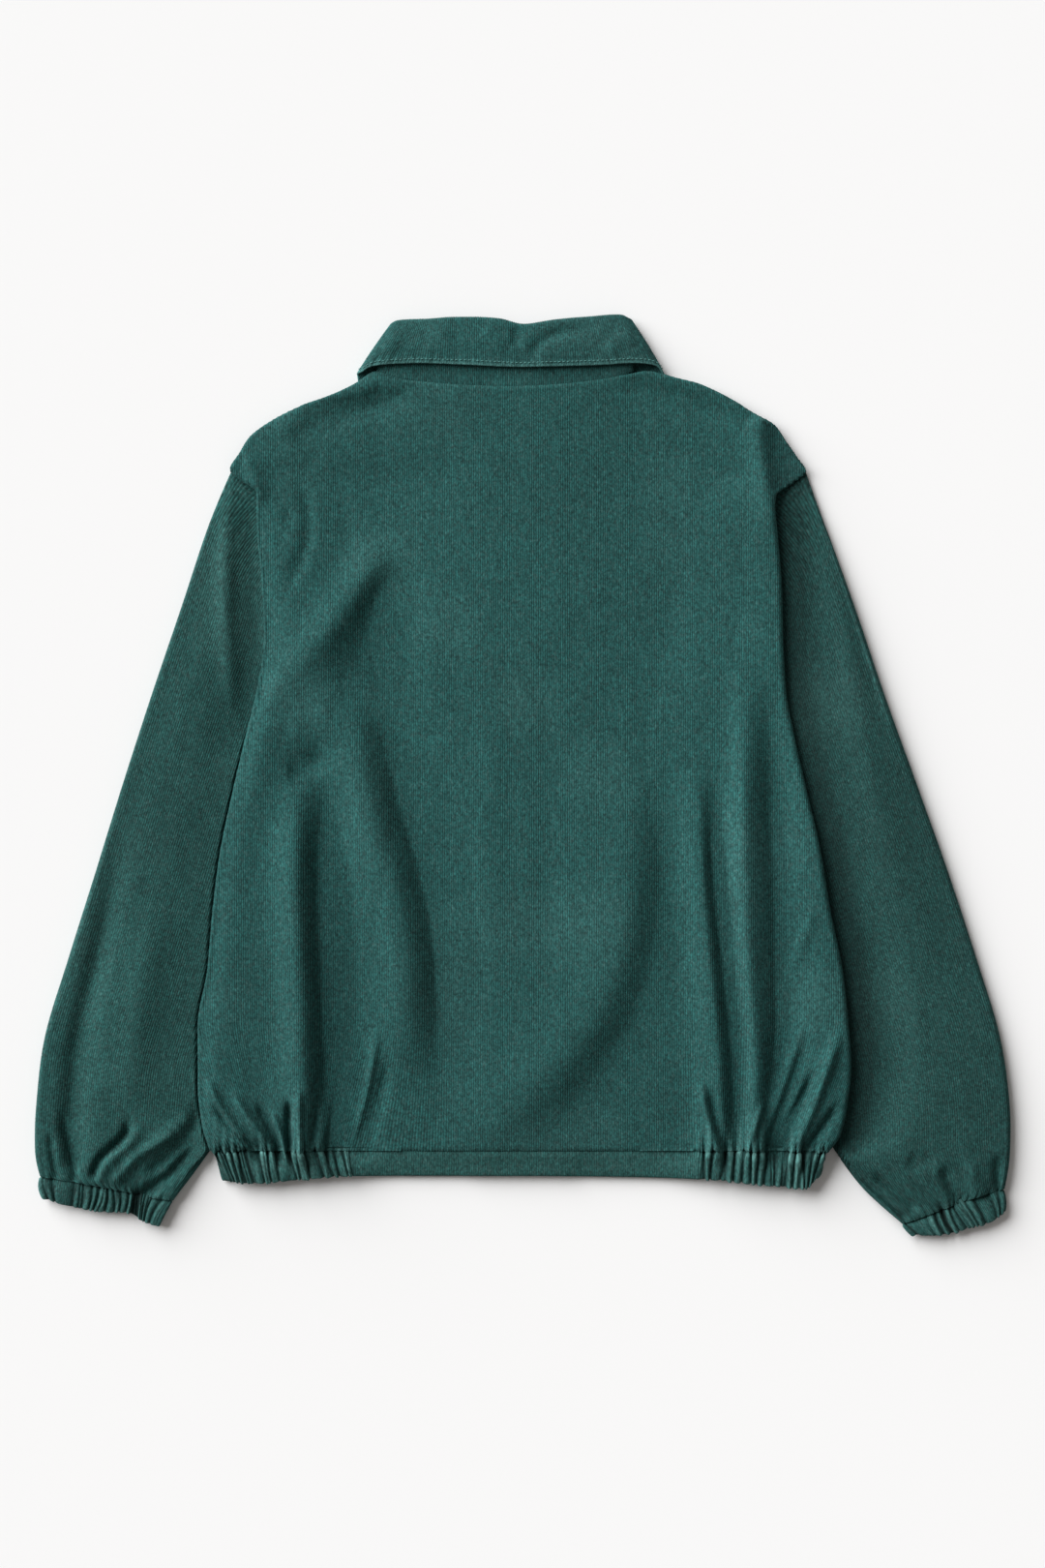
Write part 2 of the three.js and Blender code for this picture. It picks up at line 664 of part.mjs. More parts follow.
// A gathered band, as a flattened ring between two lines. Its gathers are waves on the upper face.
const CUFF_UNDERSIDE = [0.8, 0.6, 0.4, 0.2];
function cuffGeometry(rows) {
  const columns = CUFF.gathers * CUFF.pointsPerGather;
  const top = Array.from({ length: columns - 3 }, (_, k) => (k + 2) / columns);
  const outer = [];
  const inner = [];
  for (const { share, swell } of CUFF_ROWS) {
    const point = (f) => {
      const row = rowAt(rows, Math.min(1, Math.max(0, f)));
      return [mix(row.seamX, row.edgeX, share), mix(row.seamY, row.edgeY, share)];
    };
    const [x0, y0] = point(0);
    const [x1, y1] = point(1);
    const width = Math.hypot(x1 - x0, y1 - y0);
    const tall = CUFF.height + swell;
    const outline = flatTube({
      width,
      outerFold: tall,
      innerFold: tall,
      height: () => tall,
      bottom: CUFF_UNDERSIDE,
      top,
    }).map((p) => {
      const phase = (p.a / width) * CUFF.gathers * 2 * Math.PI;
      const raised = ease((p.z / tall - CUFF.waveFrom) / CUFF.waveRamp);
      return { ...p, wave: CUFF.wave * raised * Math.cos(phase) };
    });
    const wall = wallPoints(outline, HEM_CLOTH + CUFF.wave * CUFF.waveRamp, true);
    const place = ([a, z]) => [...point(a / width), Math.max(0, z)];
    outer.push(wall.map((p) => place(p.outer)));
    inner.push(wall.map((p) => place(p.inner)));
  }
  return shell(outer, inner, true);
}

// Upper face of the hem band: low in the middle, over its lapped ends, and high at the gathered sides.
function hemTop(x) {
  const { sides, flat, overLap, stand, standRamp, before, ramp } = HEM_HEIGHT;
  const lapped = 2 * HEM_CLOTH + HEM_LAP.lift + overLap;
  const overStand = lapped * ease((stand - Math.abs(x - centreFront(HEM_SEAM))) / standRamp);
  const leftSide = ease((HEM_GATHERS.leftEnd + before - x) / ramp);
  const rightSide = ease((x - HEM_GATHERS.rightEnd + before) / ramp);
  return mix(Math.max(overStand, flat), sides, Math.max(leftSide, rightSide));
}

// The hem band: open at the centre front, where its ends overlap like the fronts above them.
const HEM_MIDDLE = [-95, -60, -30, 0, 30, 60, 95];
const HEM_UNDERSIDE_LEFT = [-60, -130, -190, -235];
const HEM_UNDERSIDE_RIGHT = [235, 190, 130];
const HEM_LAP_POINTS = [52, 36, 20, -STAND_HALF];
function hemGeometry() {
  const [first, last] = [HEM[0].x, HEM[HEM.length - 1].x];
  const centre = centreFront(HEM_SEAM);
  const { waves, leftEnd, rightEnd, wave, pointsPerWave } = HEM_GATHERS;
  const turns = (x) => {
    if (x < leftEnd) {
      return ((x - first) / (leftEnd - first)) * waves;
    }
    return x > rightEnd ? ((x - rightEnd) / (last - rightEnd)) * waves : 0;
  };
  const steps = waves * pointsPerWave;
  const gathered = (from, to, start) =>
    Array.from({ length: steps - 2 }, (_, k) => mix(from, to, (k + start) / steps));
  const overX = [
    ...gathered(first, leftEnd, 1),
    leftEnd,
    ...HEM_MIDDLE,
    rightEnd,
    ...gathered(rightEnd, last, 2),
  ];
  const foldLeft = foldPoints(first, 0, hemTop(first), -1);
  const foldRight = foldPoints(last, 0, hemTop(last), 1).reverse();
  const [from, to] = [foldLeft[foldLeft.length - 1].a + 1, foldRight[0].a - 1];
  const lap = (a) => HEM_LAP.lift * ease((centre + HEM_LAP.from - a) / HEM_LAP.ramp);
  const floorLeft = [centre + STAND_HALF, centre - 10, ...HEM_UNDERSIDE_LEFT].map((a) => ({ a, z: 0 }));
  const floorRight = [...HEM_UNDERSIDE_RIGHT, ...HEM_LAP_POINTS.map((x) => centre + x)];
  const outer = [];
  const inner = [];
  for (const { share, swell } of HEM_ROWS) {
    const over = overX.filter((x) => x > from && x < to).map((a) => {
      const isGathered = a < leftEnd || a > rightEnd;
      return { a, z: hemTop(a) + swell, wave: isGathered ? wave * Math.cos(turns(a) * 2 * Math.PI) : 0 };
    });
    const outline = [
      ...floorLeft,
      ...foldLeft,
      ...over,
      ...foldRight,
      ...floorRight.map((a) => ({ a, z: lap(a) })),
    ];
    const wall = wallPoints(outline, HEM_CLOTH, false);
    const place = ([a, z]) => [a, mix(read(HEM, "x", a, "seam"), read(HEM, "x", a, "edge"), share), z];
    outer.push(wall.map((p) => place(p.outer)));
    inner.push(wall.map((p) => place(p.inner)));
  }
  return shell(outer, inner, false);
}

// The collar: from the neck seam up its stand, over the roll line, and down its leaf.
function collarGeometry() {
  const outer = [];
  const inner = [];
  const grid = [];
  for (let i = 0; i < COLLAR_ROWS; i += 1) {
    const row = rowAt(COLLAR, i / (COLLAR_ROWS - 1));
    const angle = (row.side * Math.PI) / 180;
    const seam = new THREE.Vector3(row.seamX, row.seamY, row.seamZ);
    const roll = new THREE.Vector3(row.rollX, row.rollY, row.rollZ);
    const edge = new THREE.Vector3(row.edgeX, row.edgeY, row.edgeZ);
    const up = roll.clone().sub(seam).setZ(0).normalize().multiplyScalar(ROLL_RADIUS);
    const turn = new THREE.Vector3(Math.cos(angle), 0, Math.sin(angle)).multiplyScalar(ROLL_RADIUS);
    const standTop = roll.clone().sub(turn);
    const leafTop = roll.clone().add(turn);
    const points = [
      seam,
      seam.clone().lerp(standTop, 0.5),
      standTop,
      roll.clone().addScaledVector(turn, -ROLL_DIAGONAL).addScaledVector(up, ROLL_DIAGONAL),
      roll.clone().add(up),
      roll.clone().addScaledVector(turn, ROLL_DIAGONAL).addScaledVector(up, ROLL_DIAGONAL),
      leafTop,
      leafTop.clone().lerp(edge, 1 / 3),
      leafTop.clone().lerp(edge, 2 / 3),
      edge,
    ];
    grid.push(points);
  }
  for (let i = 0; i < COLLAR_ROWS; i += 1) {
    const pairs = grid[i].map((point, j) => {
      const along = grid[Math.min(COLLAR_ROWS - 1, i + 1)][j].clone().sub(grid[Math.max(0, i - 1)][j]);
      const across = grid[i][Math.min(grid[i].length - 1, j + 1)].clone().sub(grid[i][Math.max(0, j - 1)]);
      const normal = along.cross(across).normalize().multiplyScalar(CLOTH / 2);
      return [point.clone().add(normal), point.clone().sub(normal)];
    });
    outer.push(pairs.map(([a]) => [a.x, a.y, Math.max(0, a.z)]));
    inner.push(pairs.map(([, b]) => [b.x, b.y, Math.max(0, b.z)]));
  }
  return shell(outer, inner, false);
}

// A button with a low rim, its outer face down.
function buttonGeometry() {
  const profile = [
    [0, BUTTON.dish],
    [BUTTON.dishRadius, BUTTON.dish],
    [BUTTON.rimInner, 0],
    [BUTTON.rimOuter, 0],
    [BUTTON.radius, BUTTON.rimSide],
    [BUTTON.backRadius, BUTTON.thick],
    [0, BUTTON.thick],
  ];
  const points = profile.map(([x, y]) => new THREE.Vector2(x, y));
  return new THREE.LatheGeometry(points, BUTTON.sides).rotateX(Math.PI / 2);
}

const cloth = (colour) => new THREE.MeshStandardMaterial({ color: colour, roughness: 0.92, metalness: 0 });
const MATERIALS = {
  body: cloth(0x2d5654),
  sleeve: cloth(0x274e4c),
  band: cloth(0x2c4c4a),
  button: new THREE.MeshStandardMaterial({ color: 0x1c2b2a, roughness: 0.45, metalness: 0 }),
};

const jacket = new THREE.Group();
function add(name, geometry, material) {
  const mesh = new THREE.Mesh(geometry, material);
  mesh.name = name;
  jacket.add(mesh);
  return mesh;
}

add("back", backGeometry(), MATERIALS.body);
add("front_left", frontGeometry(-1, OVER_BUTTONS), MATERIALS.body);
add("front_right", frontGeometry(1, OVER_LOWER_FRONT), MATERIALS.body);
const sleeveLeft = sleeveGeometry(-1, SLEEVE_LEFT, BODY_LEFT, CUFF_LEFT, SLEEVE_LEFT_CREASES);
const sleeveRight = sleeveGeometry(1, SLEEVE_RIGHT, BODY_RIGHT, CUFF_RIGHT, SLEEVE_RIGHT_CREASES);
add("sleeve_left", sleeveLeft, MATERIALS.sleeve);
add("sleeve_right", sleeveRight, MATERIALS.sleeve);
add("cuff_left", cuffGeometry(CUFF_LEFT), MATERIALS.band);
add("cuff_right", cuffGeometry(CUFF_RIGHT), MATERIALS.band);
add("hem_band", hemGeometry(), MATERIALS.band);
add("collar", collarGeometry(), MATERIALS.body);
for (let i = 0; i < BUTTON.count; i += 1) {
  const y = BUTTON.first - i * BUTTON.pitch;
  const button = add(`button_${i + 1}`, buttonGeometry(), MATERIALS.button);
  button.position.set(centreFront(y), y, BUTTON.thick);
  button.rotation.x = Math.PI;
}

export default jacket;
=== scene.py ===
import math

import bmesh
import bpy
import numpy as np
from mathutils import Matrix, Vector


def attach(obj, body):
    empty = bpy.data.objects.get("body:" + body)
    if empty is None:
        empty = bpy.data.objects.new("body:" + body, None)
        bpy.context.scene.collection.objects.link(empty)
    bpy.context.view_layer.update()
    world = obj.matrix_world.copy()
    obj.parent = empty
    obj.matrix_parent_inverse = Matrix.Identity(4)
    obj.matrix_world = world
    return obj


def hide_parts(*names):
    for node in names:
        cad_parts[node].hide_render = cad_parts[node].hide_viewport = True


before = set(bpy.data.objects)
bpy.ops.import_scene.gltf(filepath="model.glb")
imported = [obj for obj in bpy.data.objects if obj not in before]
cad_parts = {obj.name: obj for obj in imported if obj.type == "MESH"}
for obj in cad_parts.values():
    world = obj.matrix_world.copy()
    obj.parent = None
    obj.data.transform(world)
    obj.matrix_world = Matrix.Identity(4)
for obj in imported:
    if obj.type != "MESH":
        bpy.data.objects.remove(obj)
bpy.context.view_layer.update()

MM = 0.001
SIDE_NAMES = {-1: "left", 1: "right"}

# Corduroy: one rib every 1.81 mm, three columns of points to a rib
RIB = 1.81
COLUMNS_PER_RIB = 3
RIB_HEIGHT = 0.38
GROOVE_SINK = 0.3
CREASE_DEPTH = 1.6

# Layers, bottom to top, as in the solids
CLOTH = 1.5
SLEEVE_PRESSED = 4.05
OVER_SLEEVE = 4.4
OVER_COLLAR = 1.8
OVER_BUTTONS = 2.35
OVER_LOWER_FRONT = OVER_BUTTONS + CLOTH + 0.7
SHOULDER_TURN = OVER_COLLAR + CLOTH + 0.3
BACK_REST = 2 * CLOTH + 1.25
SLEEVE_MARGIN = 20
# How far in from its edge a folded or turned edge begins to round over, at most
FOLD_REACH = 4.5

# Heights up the back of the places where the outline changes
HEM_SEAM = -304.0
ARMPIT = 33.0
SHOULDER_TIP = 250.0
FRONT_NECK = 259.5
STAND_HALF = 15.0
BUTTONS = 6
BUTTON_FIRST = 235.0
BUTTON_PITCH = 99.0
# The neck seam across the back: where its middle is, its points, and how far it dips between them
NECK_MIDDLE = -12
NECK_POINTS = ((100, 13), (-117, 10))
NECK_DIP = 8.6
NECK_POINT_RISE = 3.6


def table(names, rows):
    """A table of rows with named columns, as a dictionary of arrays."""
    columns = np.array(rows, dtype=float).T
    return dict(zip(names.split(), columns))


# Body outline at each height: the folded edge, and where the cloth turned under it ends
BODY = {
    -1: table("y edge under", [
        [325, -124, -118], [311, -151, -144], [300, -181, -174], [290, -201, -194], [275, -222, -215],
        [262, -230, -223], [248, -238, -231], [240, -230, -223], [229, -216, -208], [202, -216, -201],
        [158, -212, -194], [111, -210, -187], [76, -215, -177], [33, -225, -154], [-15, -236, -182],
        [-62, -246, -197], [-109, -252, -211], [-156, -256, -219], [-203, -264, -224],
        [-250, -264, -224], [-285, -260, -222], [-304, -254, -222],
    ]),
    1: table("y edge under", [
        [325, 115, 109], [318, 143, 137], [305, 170, 163], [294, 188, 181], [284, 205, 198],
        [271, 214, 207], [258, 223, 216], [247, 230, 223], [237, 219, 212], [225, 204, 198],
        [190, 207, 192], [151, 210, 187], [111, 211, 182], [72, 213, 172], [33, 220, 159],
        [-11, 230, 180], [-54, 240, 195], [-108, 249, 212], [-157, 259, 231], [-203, 264, 238],
        [-235, 266, 240], [-273, 262, 236], [-292, 257, 228], [-304, 248, 220],
    ]),
}

# Where the tucked-in part of each sleeve ends below the armpit
SLEEVE_INNER = {
    -1: table("y x", [
        [33, -154], [7, -155], [-22, -159], [-65, -166], [-109, -177], [-156, -191], [-205, -207],
        [-249, -225], [-288, -252], [-304, -290],
    ]),
    1: table("y x", [
        [33, 159], [5, 160], [-26, 165], [-70, 174], [-113, 187], [-160, 202], [-210, 218],
        [-262, 235], [-290, 256], [-304, 290],
    ]),
}

# Cross-sections of each sleeve, shoulder to cuff: outer fold, inner fold, height of the outer fold,
# and how far the top layer stands up between them
SLEEVE = {
    -1: table("out_x out_y in_x in_y fold loft", [
        [-236, 250, -154, 33, 4.05, 0], [-247, 225, -154, 20, 4.7, 2], [-259, 193, -155, 7, 7, 4.5],
        [-278, 135, -159, -22, 8.5, 6], [-302, 64, -166, -65, 9, 7], [-325, -7, -177, -109, 9, 7],
        [-347, -78, -191, -156, 9, 7], [-369, -148, -207, -205, 9, 7], [-388, -211, -225, -249, 10, 8],
        [-395, -266, -244, -288, 11, 9], [-396, -306, -264, -318, 11, 9], [-392, -325, -284, -344, 9, 6],
    ]),
    1: table("out_x out_y in_x in_y fold loft", [
        [229, 249, 159, 33, 4.05, 0], [239, 220, 159, 18, 4.7, 2], [251, 188, 160, 5, 7, 4.5],
        [270, 135, 165, -26, 8.5, 6], [294, 64, 174, -70, 9, 7], [320, -8, 187, -113, 9, 7],
        [345, -78, 202, -160, 9, 7], [368, -148, 218, -210, 9, 7], [387, -211, 232, -262, 10, 8],
        [395, -266, 248, -296, 11, 9], [395, -310, 277, -336, 11, 9], [391, -335, 308, -363, 9, 6],
    ]),
}

# Cuffs, from the outer end to the inner end: the seam to the sleeve and the free edge
CUFF = {
    -1: table("seam_x seam_y edge_x edge_y", [
        [-392, -326, -389, -343], [-362, -331, -366, -350], [-338, -335, -341, -354],
        [-319, -339, -321, -355], [-303, -343, -308, -362], [-284, -345.5, -295, -366],
    ]),
    1: table("seam_x seam_y edge_x edge_y", [
        [391, -336, 392, -354], [367, -343, 378, -363], [350, -349, 362, -367],
        [339, -353, 347, -372], [321, -360, 332, -373], [308, -364.5, 317, -373],
    ]),
}
CUFF_GATHERS = {-1: 17, 1: 14}
CUFF_VALLEY = {-1: (0.67, 0.88, 1.0), 1: (0.6, 0.66, 0.95)}
CUFF_HEIGHT = 8.5
CUFF_STEP = 0.55

# Hem band, from the left end to the right end: seam to the back, and the bottom edge
HEM = table("x seam edge", [
    [-254, -305.5, -329], [-225, -305, -331], [-189, -304.5, -328], [-142, -304.5, -325],
    [0, -304.5, -325], [86, -304.5, -326], [155, -305, -328], [204, -305, -333],
    [234, -305.5, -335], [249, -306, -326],
])
HEM_WAVES = 15
HEM_LEFT_END = -140.0
HEM_RIGHT_END = 141.0
HEM_STEP = 0.6
# Height of the hem band at its sides, at the plain stretch, and at the overlap of its ends
HEM_SIDES = 11.5
HEM_LEVEL = 5.2
HEM_LAP = 2.3
HEM_MIDDLE = 2 * 2.0 + HEM_LAP + 0.7

# How far the elastic draws the back's ribs sideways at the hem, and the height where this starts
HEM_DRAW = table("x shift", [
    [-330, 36], [-285, 33], [-265, 29], [-246, 28], [-219, 17], [-189, 2], [-181, 0], [-154, -9],
    [-129, -22], [-110, -20], [-85, -8], [-55, 0], [125, 0], [143, 3], [157, -1], [165, -5], [181, -2],
    [199, -9], [226, -23], [256, -34], [266, -35], [290, -42], [330, -44],
])
HEM_DRAW_START = -200.0

# Collar, from its left end at the centre front, round the back of the neck, to its right end:
# the neck seam, the roll line and the free edge of the leaf, and which way the leaf lies from the
# stand, in degrees from +X towards +Z
COLLAR = table("seam_x seam_y seam_z roll_x roll_y roll_z edge_x edge_y edge_z side", [
    [-19, 266, 2.8, -21, 279, 2.0, -80, 198, 1.2, -90],
    [-58, 276, 2.8, -54, 300, 2.0, -103, 228, 1.2, -90],
    [-92, 297, 2.8, -85, 334, 2.0, -123, 272, 1.2, -90],
    [-108, 314, 2.9, -100, 354, 2.2, -131, 306, 1.2, -95],
    [-116, 325.5, 3.4, -105, 361, 3.3, -134, 324, 1.6, -135],
    [-118, 329, 4.4, -107, 363, 4.7, -133.5, 327, 5, -180],
    [-115, 328, 5.5, -105, 366, 6.3, -130, 328, 8.6, -225],
    [-104, 324, 6, -98, 367.8, 7.3, -119, 333, 10.2, -262],
    [-79, 318.5, 6, -79, 368.4, 7.7, -87, 335, 10.8, -270],
    [-52, 316, 6, -53, 370, 7.7, -53, 334, 10.8, -270],
    [-22, 316, 6, -21, 369, 7.7, -22, 332.5, 10.8, -270],
    [0, 316, 6, 0, 364.4, 7.5, 0, 332, 10.8, -270],
    [27, 316.8, 6, 27, 368, 7.7, 27, 332.5, 10.8, -270],
    [58, 320.5, 6, 55, 370.4, 7.7, 62, 333.5, 10.8, -270],
    [77, 325, 6, 77, 372, 7.6, 90, 335, 10.4, -276],
    [86, 329, 5.5, 84, 370, 6.4, 107, 333, 8.6, -315],
    [89, 330, 4.4, 87, 368, 4.7, 113.5, 327, 5, -360],
    [86, 326.5, 3.4, 84, 364, 3.3, 112, 325.5, 1.6, -405],
    [78, 315, 2.9, 75, 355, 2.2, 106, 305, 1.2, -445],
    [64, 298, 2.8, 59, 334, 2.0, 97, 270, 1.2, -450],
    [34, 277, 2.8, 31, 300, 2.0, 78, 228, 1.2, -450],
    [-5, 266, 2.8, -3, 279, 2.0, 54, 198, 1.2, -450],
])
ROLL_RADIUS = 1.3
COLLAR_CLOTH = 1.9

# Creases, each listed from its upper end: points that it passes, how far it reaches to the west and
# to the east, its rise (a trough where negative), and whether it runs into a seam at its lower end
BACK_CREASES = [
    ([(-183, 4), (-184, -62), (-183, -111), (-178, -198), (-176, -301)], 17, 14, 7.4, True),
    ([(-156, 10), (-158, -78), (-156, -156), (-153, -235), (-153, -301)], 14, 20, -6.6, True),
    ([(-150, 88), (-131, 4), (-112, -62), (-99, -125), (-93, -188), (-97, -262)], 26, 24, 8.2, False),
    ([(-123, 88), (-101, 4), (-79, -62), (-64, -125), (-61, -188), (-68, -255)], 19, 28, -6.4, False),
    ([(-112, 188), (-133, 150), (-155, 119), (-187, 88)], 18, 13, 4.8, False),
    ([(-166, 116), (-190, 82), (-208, 52), (-220, 21), (-235, -22), (-243, -78)], 12, 32, 3.2, False),
    ([(-107, 172), (-110, 128), (-122, 84), (-164, 60)], 20, 22, -4.8, False),
    ([(-192, 6), (-175, 9), (-156, 25)], 10, 6, -2.6, False),
    ([(-191, 42), (-174, 39), (-154, 52)], 12, 12, 1.6, False),
    ([(-211, 202), (-197, 206), (-183, 214)], 4, 4, -1.6, False),
    ([(-207, 188), (-196, 193), (-185, 201)], 4, 4, -1.2, False),
    ([(-187, 247), (-176, 222), (-175, 190), (-187, 159), (-199, 144)], 6, 5, -1.4, False),
    ([(-194, 283), (-165, 296), (-130, 305), (-90, 311)], 14, 8, -3.2, False),
    ([(-189, 230), (-110, 236), (-32, 246)], 26, 20, -1.2, False),
    ([(78, 316), (118, 311), (149, 300), (177, 287)], 12, 8, -1.8, False),
    ([(-206, 275), (-172, 295), (-137, 308), (-95, 318)], 9, 8, 2.4, False),
    ([(84, 321), (120, 317), (152, 305), (184, 288)], 9, 8, 1.3, False),
    # the crests that border the caps of the sleeves
    ([(186, 292), (190, 281), (194, 251), (199, 218), (203, 190)], 9, 9, 3, False),
    ([(-226, 262), (-221, 250), (-216, 232), (-212, 212)], 5, 8, 1.8, False),
    ([(140, 12), (144, -78), (151, -156), (158, -235), (160, -301)], 16, 9, 5, True),
    ([(156, 4), (160, -78), (168, -156), (176, -235), (174, -301)], 9, 8, -5.2, True),
    ([(178, 96), (178, 1), (179, -78), (182, -156), (186, -235), (183, -301)], 9, 12, 5.6, True),
    ([(199, 84), (203, 1), (207, -78), (210, -156), (210, -219), (200, -301)], 10, 17, -5.6, True),
    ([(237, -107), (225, -139), (216, -166)], 4, 4, 1.4, False),
    ([(98, 84), (90, -38), (86, -101), (76, -156), (56, -203), (20, -247), (-28, -282), (-66, -298)],
     34, 26, 4.4, False),
    ([(124, 48), (119, -38), (115, -109), (104, -164), (82, -211), (46, -255), (4, -288)],
     20, 34, -2.8, False),
    # faint waves that fall down the middle of the back
    ([(-22, 60), (-30, -40), (-34, -150), (-30, -280)], 14, 14, 0.7, False),
    ([(18, 90), (22, -20), (18, -140)], 12, 12, -0.6, False),
    ([(52, 40), (48, -80), (36, -190)], 14, 12, 0.5, False),
    ([(-58, 150), (-50, 60), (-46, -20)], 12, 12, -0.6, False),
    # short folds that the elastic at the hem draws up
    ([(-256, -246), (-243, -272), (-224, -301)], 4, 3.5, 3.4, True),
    ([(-252, -264), (-236, -286), (-217, -302)], 3, 3, -5, True),
    ([(-236, -256), (-221, -278), (-205, -302)], 4, 3.5, 3.2, True),
    ([(-216, -266), (-205, -286), (-198, -303)], 3, 3, -4.4, True),
    ([(-203, -272), (-197, -288), (-193, -303)], 2.6, 2.6, 2, True),
    ([(-189, -262), (-190, -284), (-189, -303)], 3, 3, -4.6, True),
    ([(-181, -254), (-181, -276), (-181, -303)], 3.5, 3, 3, True),
    ([(-168, -266), (-170, -286), (-172, -303)], 3, 3, -3.4, True),
    ([(-143, -196), (-153, -250), (-163, -301)], 6, 5, 3.8, True),
    ([(-129, -226), (-141, -262), (-153, -302)], 3.6, 5, -4, True),
    ([(-118, -208), (-127, -256), (-140, -302)], 5, 4, 2.8, True),
    ([(-110, -232), (-117, -266), (-128, -302)], 3.6, 5, -2.2, True),
    ([(143, -246), (149, -276), (156, -303)], 4, 4, 2.6, True),
    ([(151, -254), (157, -280), (164, -303)], 3.6, 4.4, -3, True),
    ([(196, -262), (188, -284), (182, -303)], 3, 3, 2.4, True),
    ([(226, -204), (209, -256), (192, -303)], 6, 4.4, 3.8, True),
    ([(236, -240), (221, -274), (204, -303)], 3.6, 6, -5, True),
    ([(257, -206), (238, -258), (220, -303)], 6, 5, 4, True),
    ([(255, -266), (241, -287), (229, -304)], 3.4, 4.4, -4, True),
]
SLEEVE_CREASES = {
    -1: [
        ([(-320, -40), (-335, -101), (-344, -143), (-353, -180), (-360, -210), (-364, -243), (-366, -276),
          (-365, -312)], 9, 11, -4.2, True),
        ([(-296, -101), (-309, -172), (-317, -227), (-318, -274)], 14, 14, 2.2, False),
        ([(-319, -279), (-322, -290), (-332, -301), (-342, -310), (-348, -322)], 3.4, 3.4, -4.6, True),
        ([(-309, -284), (-320, -299), (-333, -310), (-341, -321)], 4, 6, 2.6, True),
        ([(-266, -274), (-290, -294), (-313, -309), (-328, -326)], 5, 4.4, 3, True),
        ([(-264, -298), (-276, -312), (-292, -328), (-310, -340)], 4.4, 5, -4.4, True),
        ([(-262, -262), (-266, -284), (-280, -303), (-299, -319)], 6, 5, -3, True),
        ([(-375, -272), (-371, -292), (-366, -312), (-364, -326)], 3.4, 3.4, -2.6, True),
        ([(-384, -290), (-382, -305), (-379, -324)], 3, 3, -1.6, True),
        ([(-236, 244), (-240, 190), (-240, 127), (-237, 80), (-232, 33)], 7, 8, 3, False),
        ([(-219, 237), (-218, 190), (-216, 143), (-215, 80)], 8, 6, -2.4, False),
        ([(-351, -196), (-349, -227), (-347, -259)], 8, 8, -0.9, False),
    ],
    1: [
        ([(226, 237), (236, 190), (246, 127), (254, 64), (266, 0), (286, -70)], 12, 12, -1.8, False),
        ([(253, 206), (267, 143), (283, 80), (295, 33)], 8, 8, -1.3, False),
        ([(277, -100), (290, -160), (300, -220), (304, -280)], 16, 16, -2.6, False),
        ([(340, -316), (346, -331), (354, -345)], 5, 5, -2.8, True),
        ([(385, -308), (386, -325), (388, -340)], 5, 4, -2.4, True),
        ([(362, -310), (366, -328), (371, -344)], 6, 6, 1.8, True),
        ([(311, -310), (322, -314), (334, -310)], 6, 6, -1.2, False),
        ([(283, -322), (300, -337), (316, -350)], 3.4, 3.4, -3.4, True),
        ([(272, -327), (291, -344), (308, -358)], 3, 3, -3, True),
    ],
}
COLLAR_CREASES = [
    ([(6, 336), (12, 349), (27, 358), (56, 363)], 5, 5, -1.5, False),
    ([(-32, 363), (-24, 355), (-15, 346)], 6, 5, 0.8, False),
    ([(-6, 365), (-6, 355), (-7, 346)], 5, 5, -1.2, False),
    ([(63, 338), (78, 351), (90, 359)], 7, 6, 0.9, False),
    ([(-117, 338), (-107, 351), (-101, 362)], 6, 5, 0.8, False),
    ([(-71, 338), (-68, 354), (-65, 366)], 8, 8, 0.6, False),
]


# Sums that the panels share
def ease(t):
    """Nought to one with flat ends."""
    s = np.clip(t, 0.0, 1.0)
    return s * s * (3 - 2 * s)


def mix(a, b, t):
    return a + (b - a) * t


def monotone(xs, ys):
    """A smooth curve through points that never swings past them."""
    order = np.argsort(xs)
    x = np.asarray(xs, dtype=float)[order]
    y = np.asarray(ys, dtype=float)[order]
    h = np.diff(x)
    slope = np.diff(y) / h
    product = slope[:-1] * slope[1:]
    total = slope[:-1] + slope[1:]
    inner = np.where(product > 0, 2 * product / np.where(total == 0, 1, total), 0.0)
    m = np.concatenate([[slope[0]], inner, [slope[-1]]])

    def value(at):
        at = np.clip(at, x[0], x[-1])
        j = np.clip(np.searchsorted(x, at) - 1, 0, len(h) - 1)
        t = (at - x[j]) / h[j]
        a = (1 + 2 * t) * (1 - t) ** 2 * y[j] + t * (1 - t) ** 2 * h[j] * m[j]
        return a + t * t * (3 - 2 * t) * y[j + 1] + t * t * (t - 1) * h[j] * m[j + 1]

    return value


def rows_at(rows, fraction):
    """Smooth rows of a table at fractions of the way through it, one per fraction."""
    count = len(next(iter(rows.values())))
    place = np.asarray(fraction, dtype=float) * (count - 1)
    i = np.clip(place.astype(int), 0, count - 2)
    t = place - i
    result = {}
    for key, column in rows.items():
        p0 = column[np.maximum(i - 1, 0)]
        p1 = column[i]
        p2 = column[i + 1]
        p3 = column[np.minimum(i + 2, count - 1)]
        bend = (2 * p0 - 5 * p1 + 4 * p2 - p3) * t**2 + (3 * p1 - p0 - 3 * p2 + p3) * t**3
        result[key] = 0.5 * (2 * p1 + (p2 - p0) * t + bend)
    return result


def wander(x, length, seed):
    """Smooth random values between -1 and 1 along a line."""
    values = np.random.RandomState(seed).uniform(-1, 1, 512)
    place = np.asarray(x, dtype=float) / length + 100
    i = np.floor(place).astype(int)
    return mix(values[i % 512], values[(i + 1) % 512], ease(place - i))


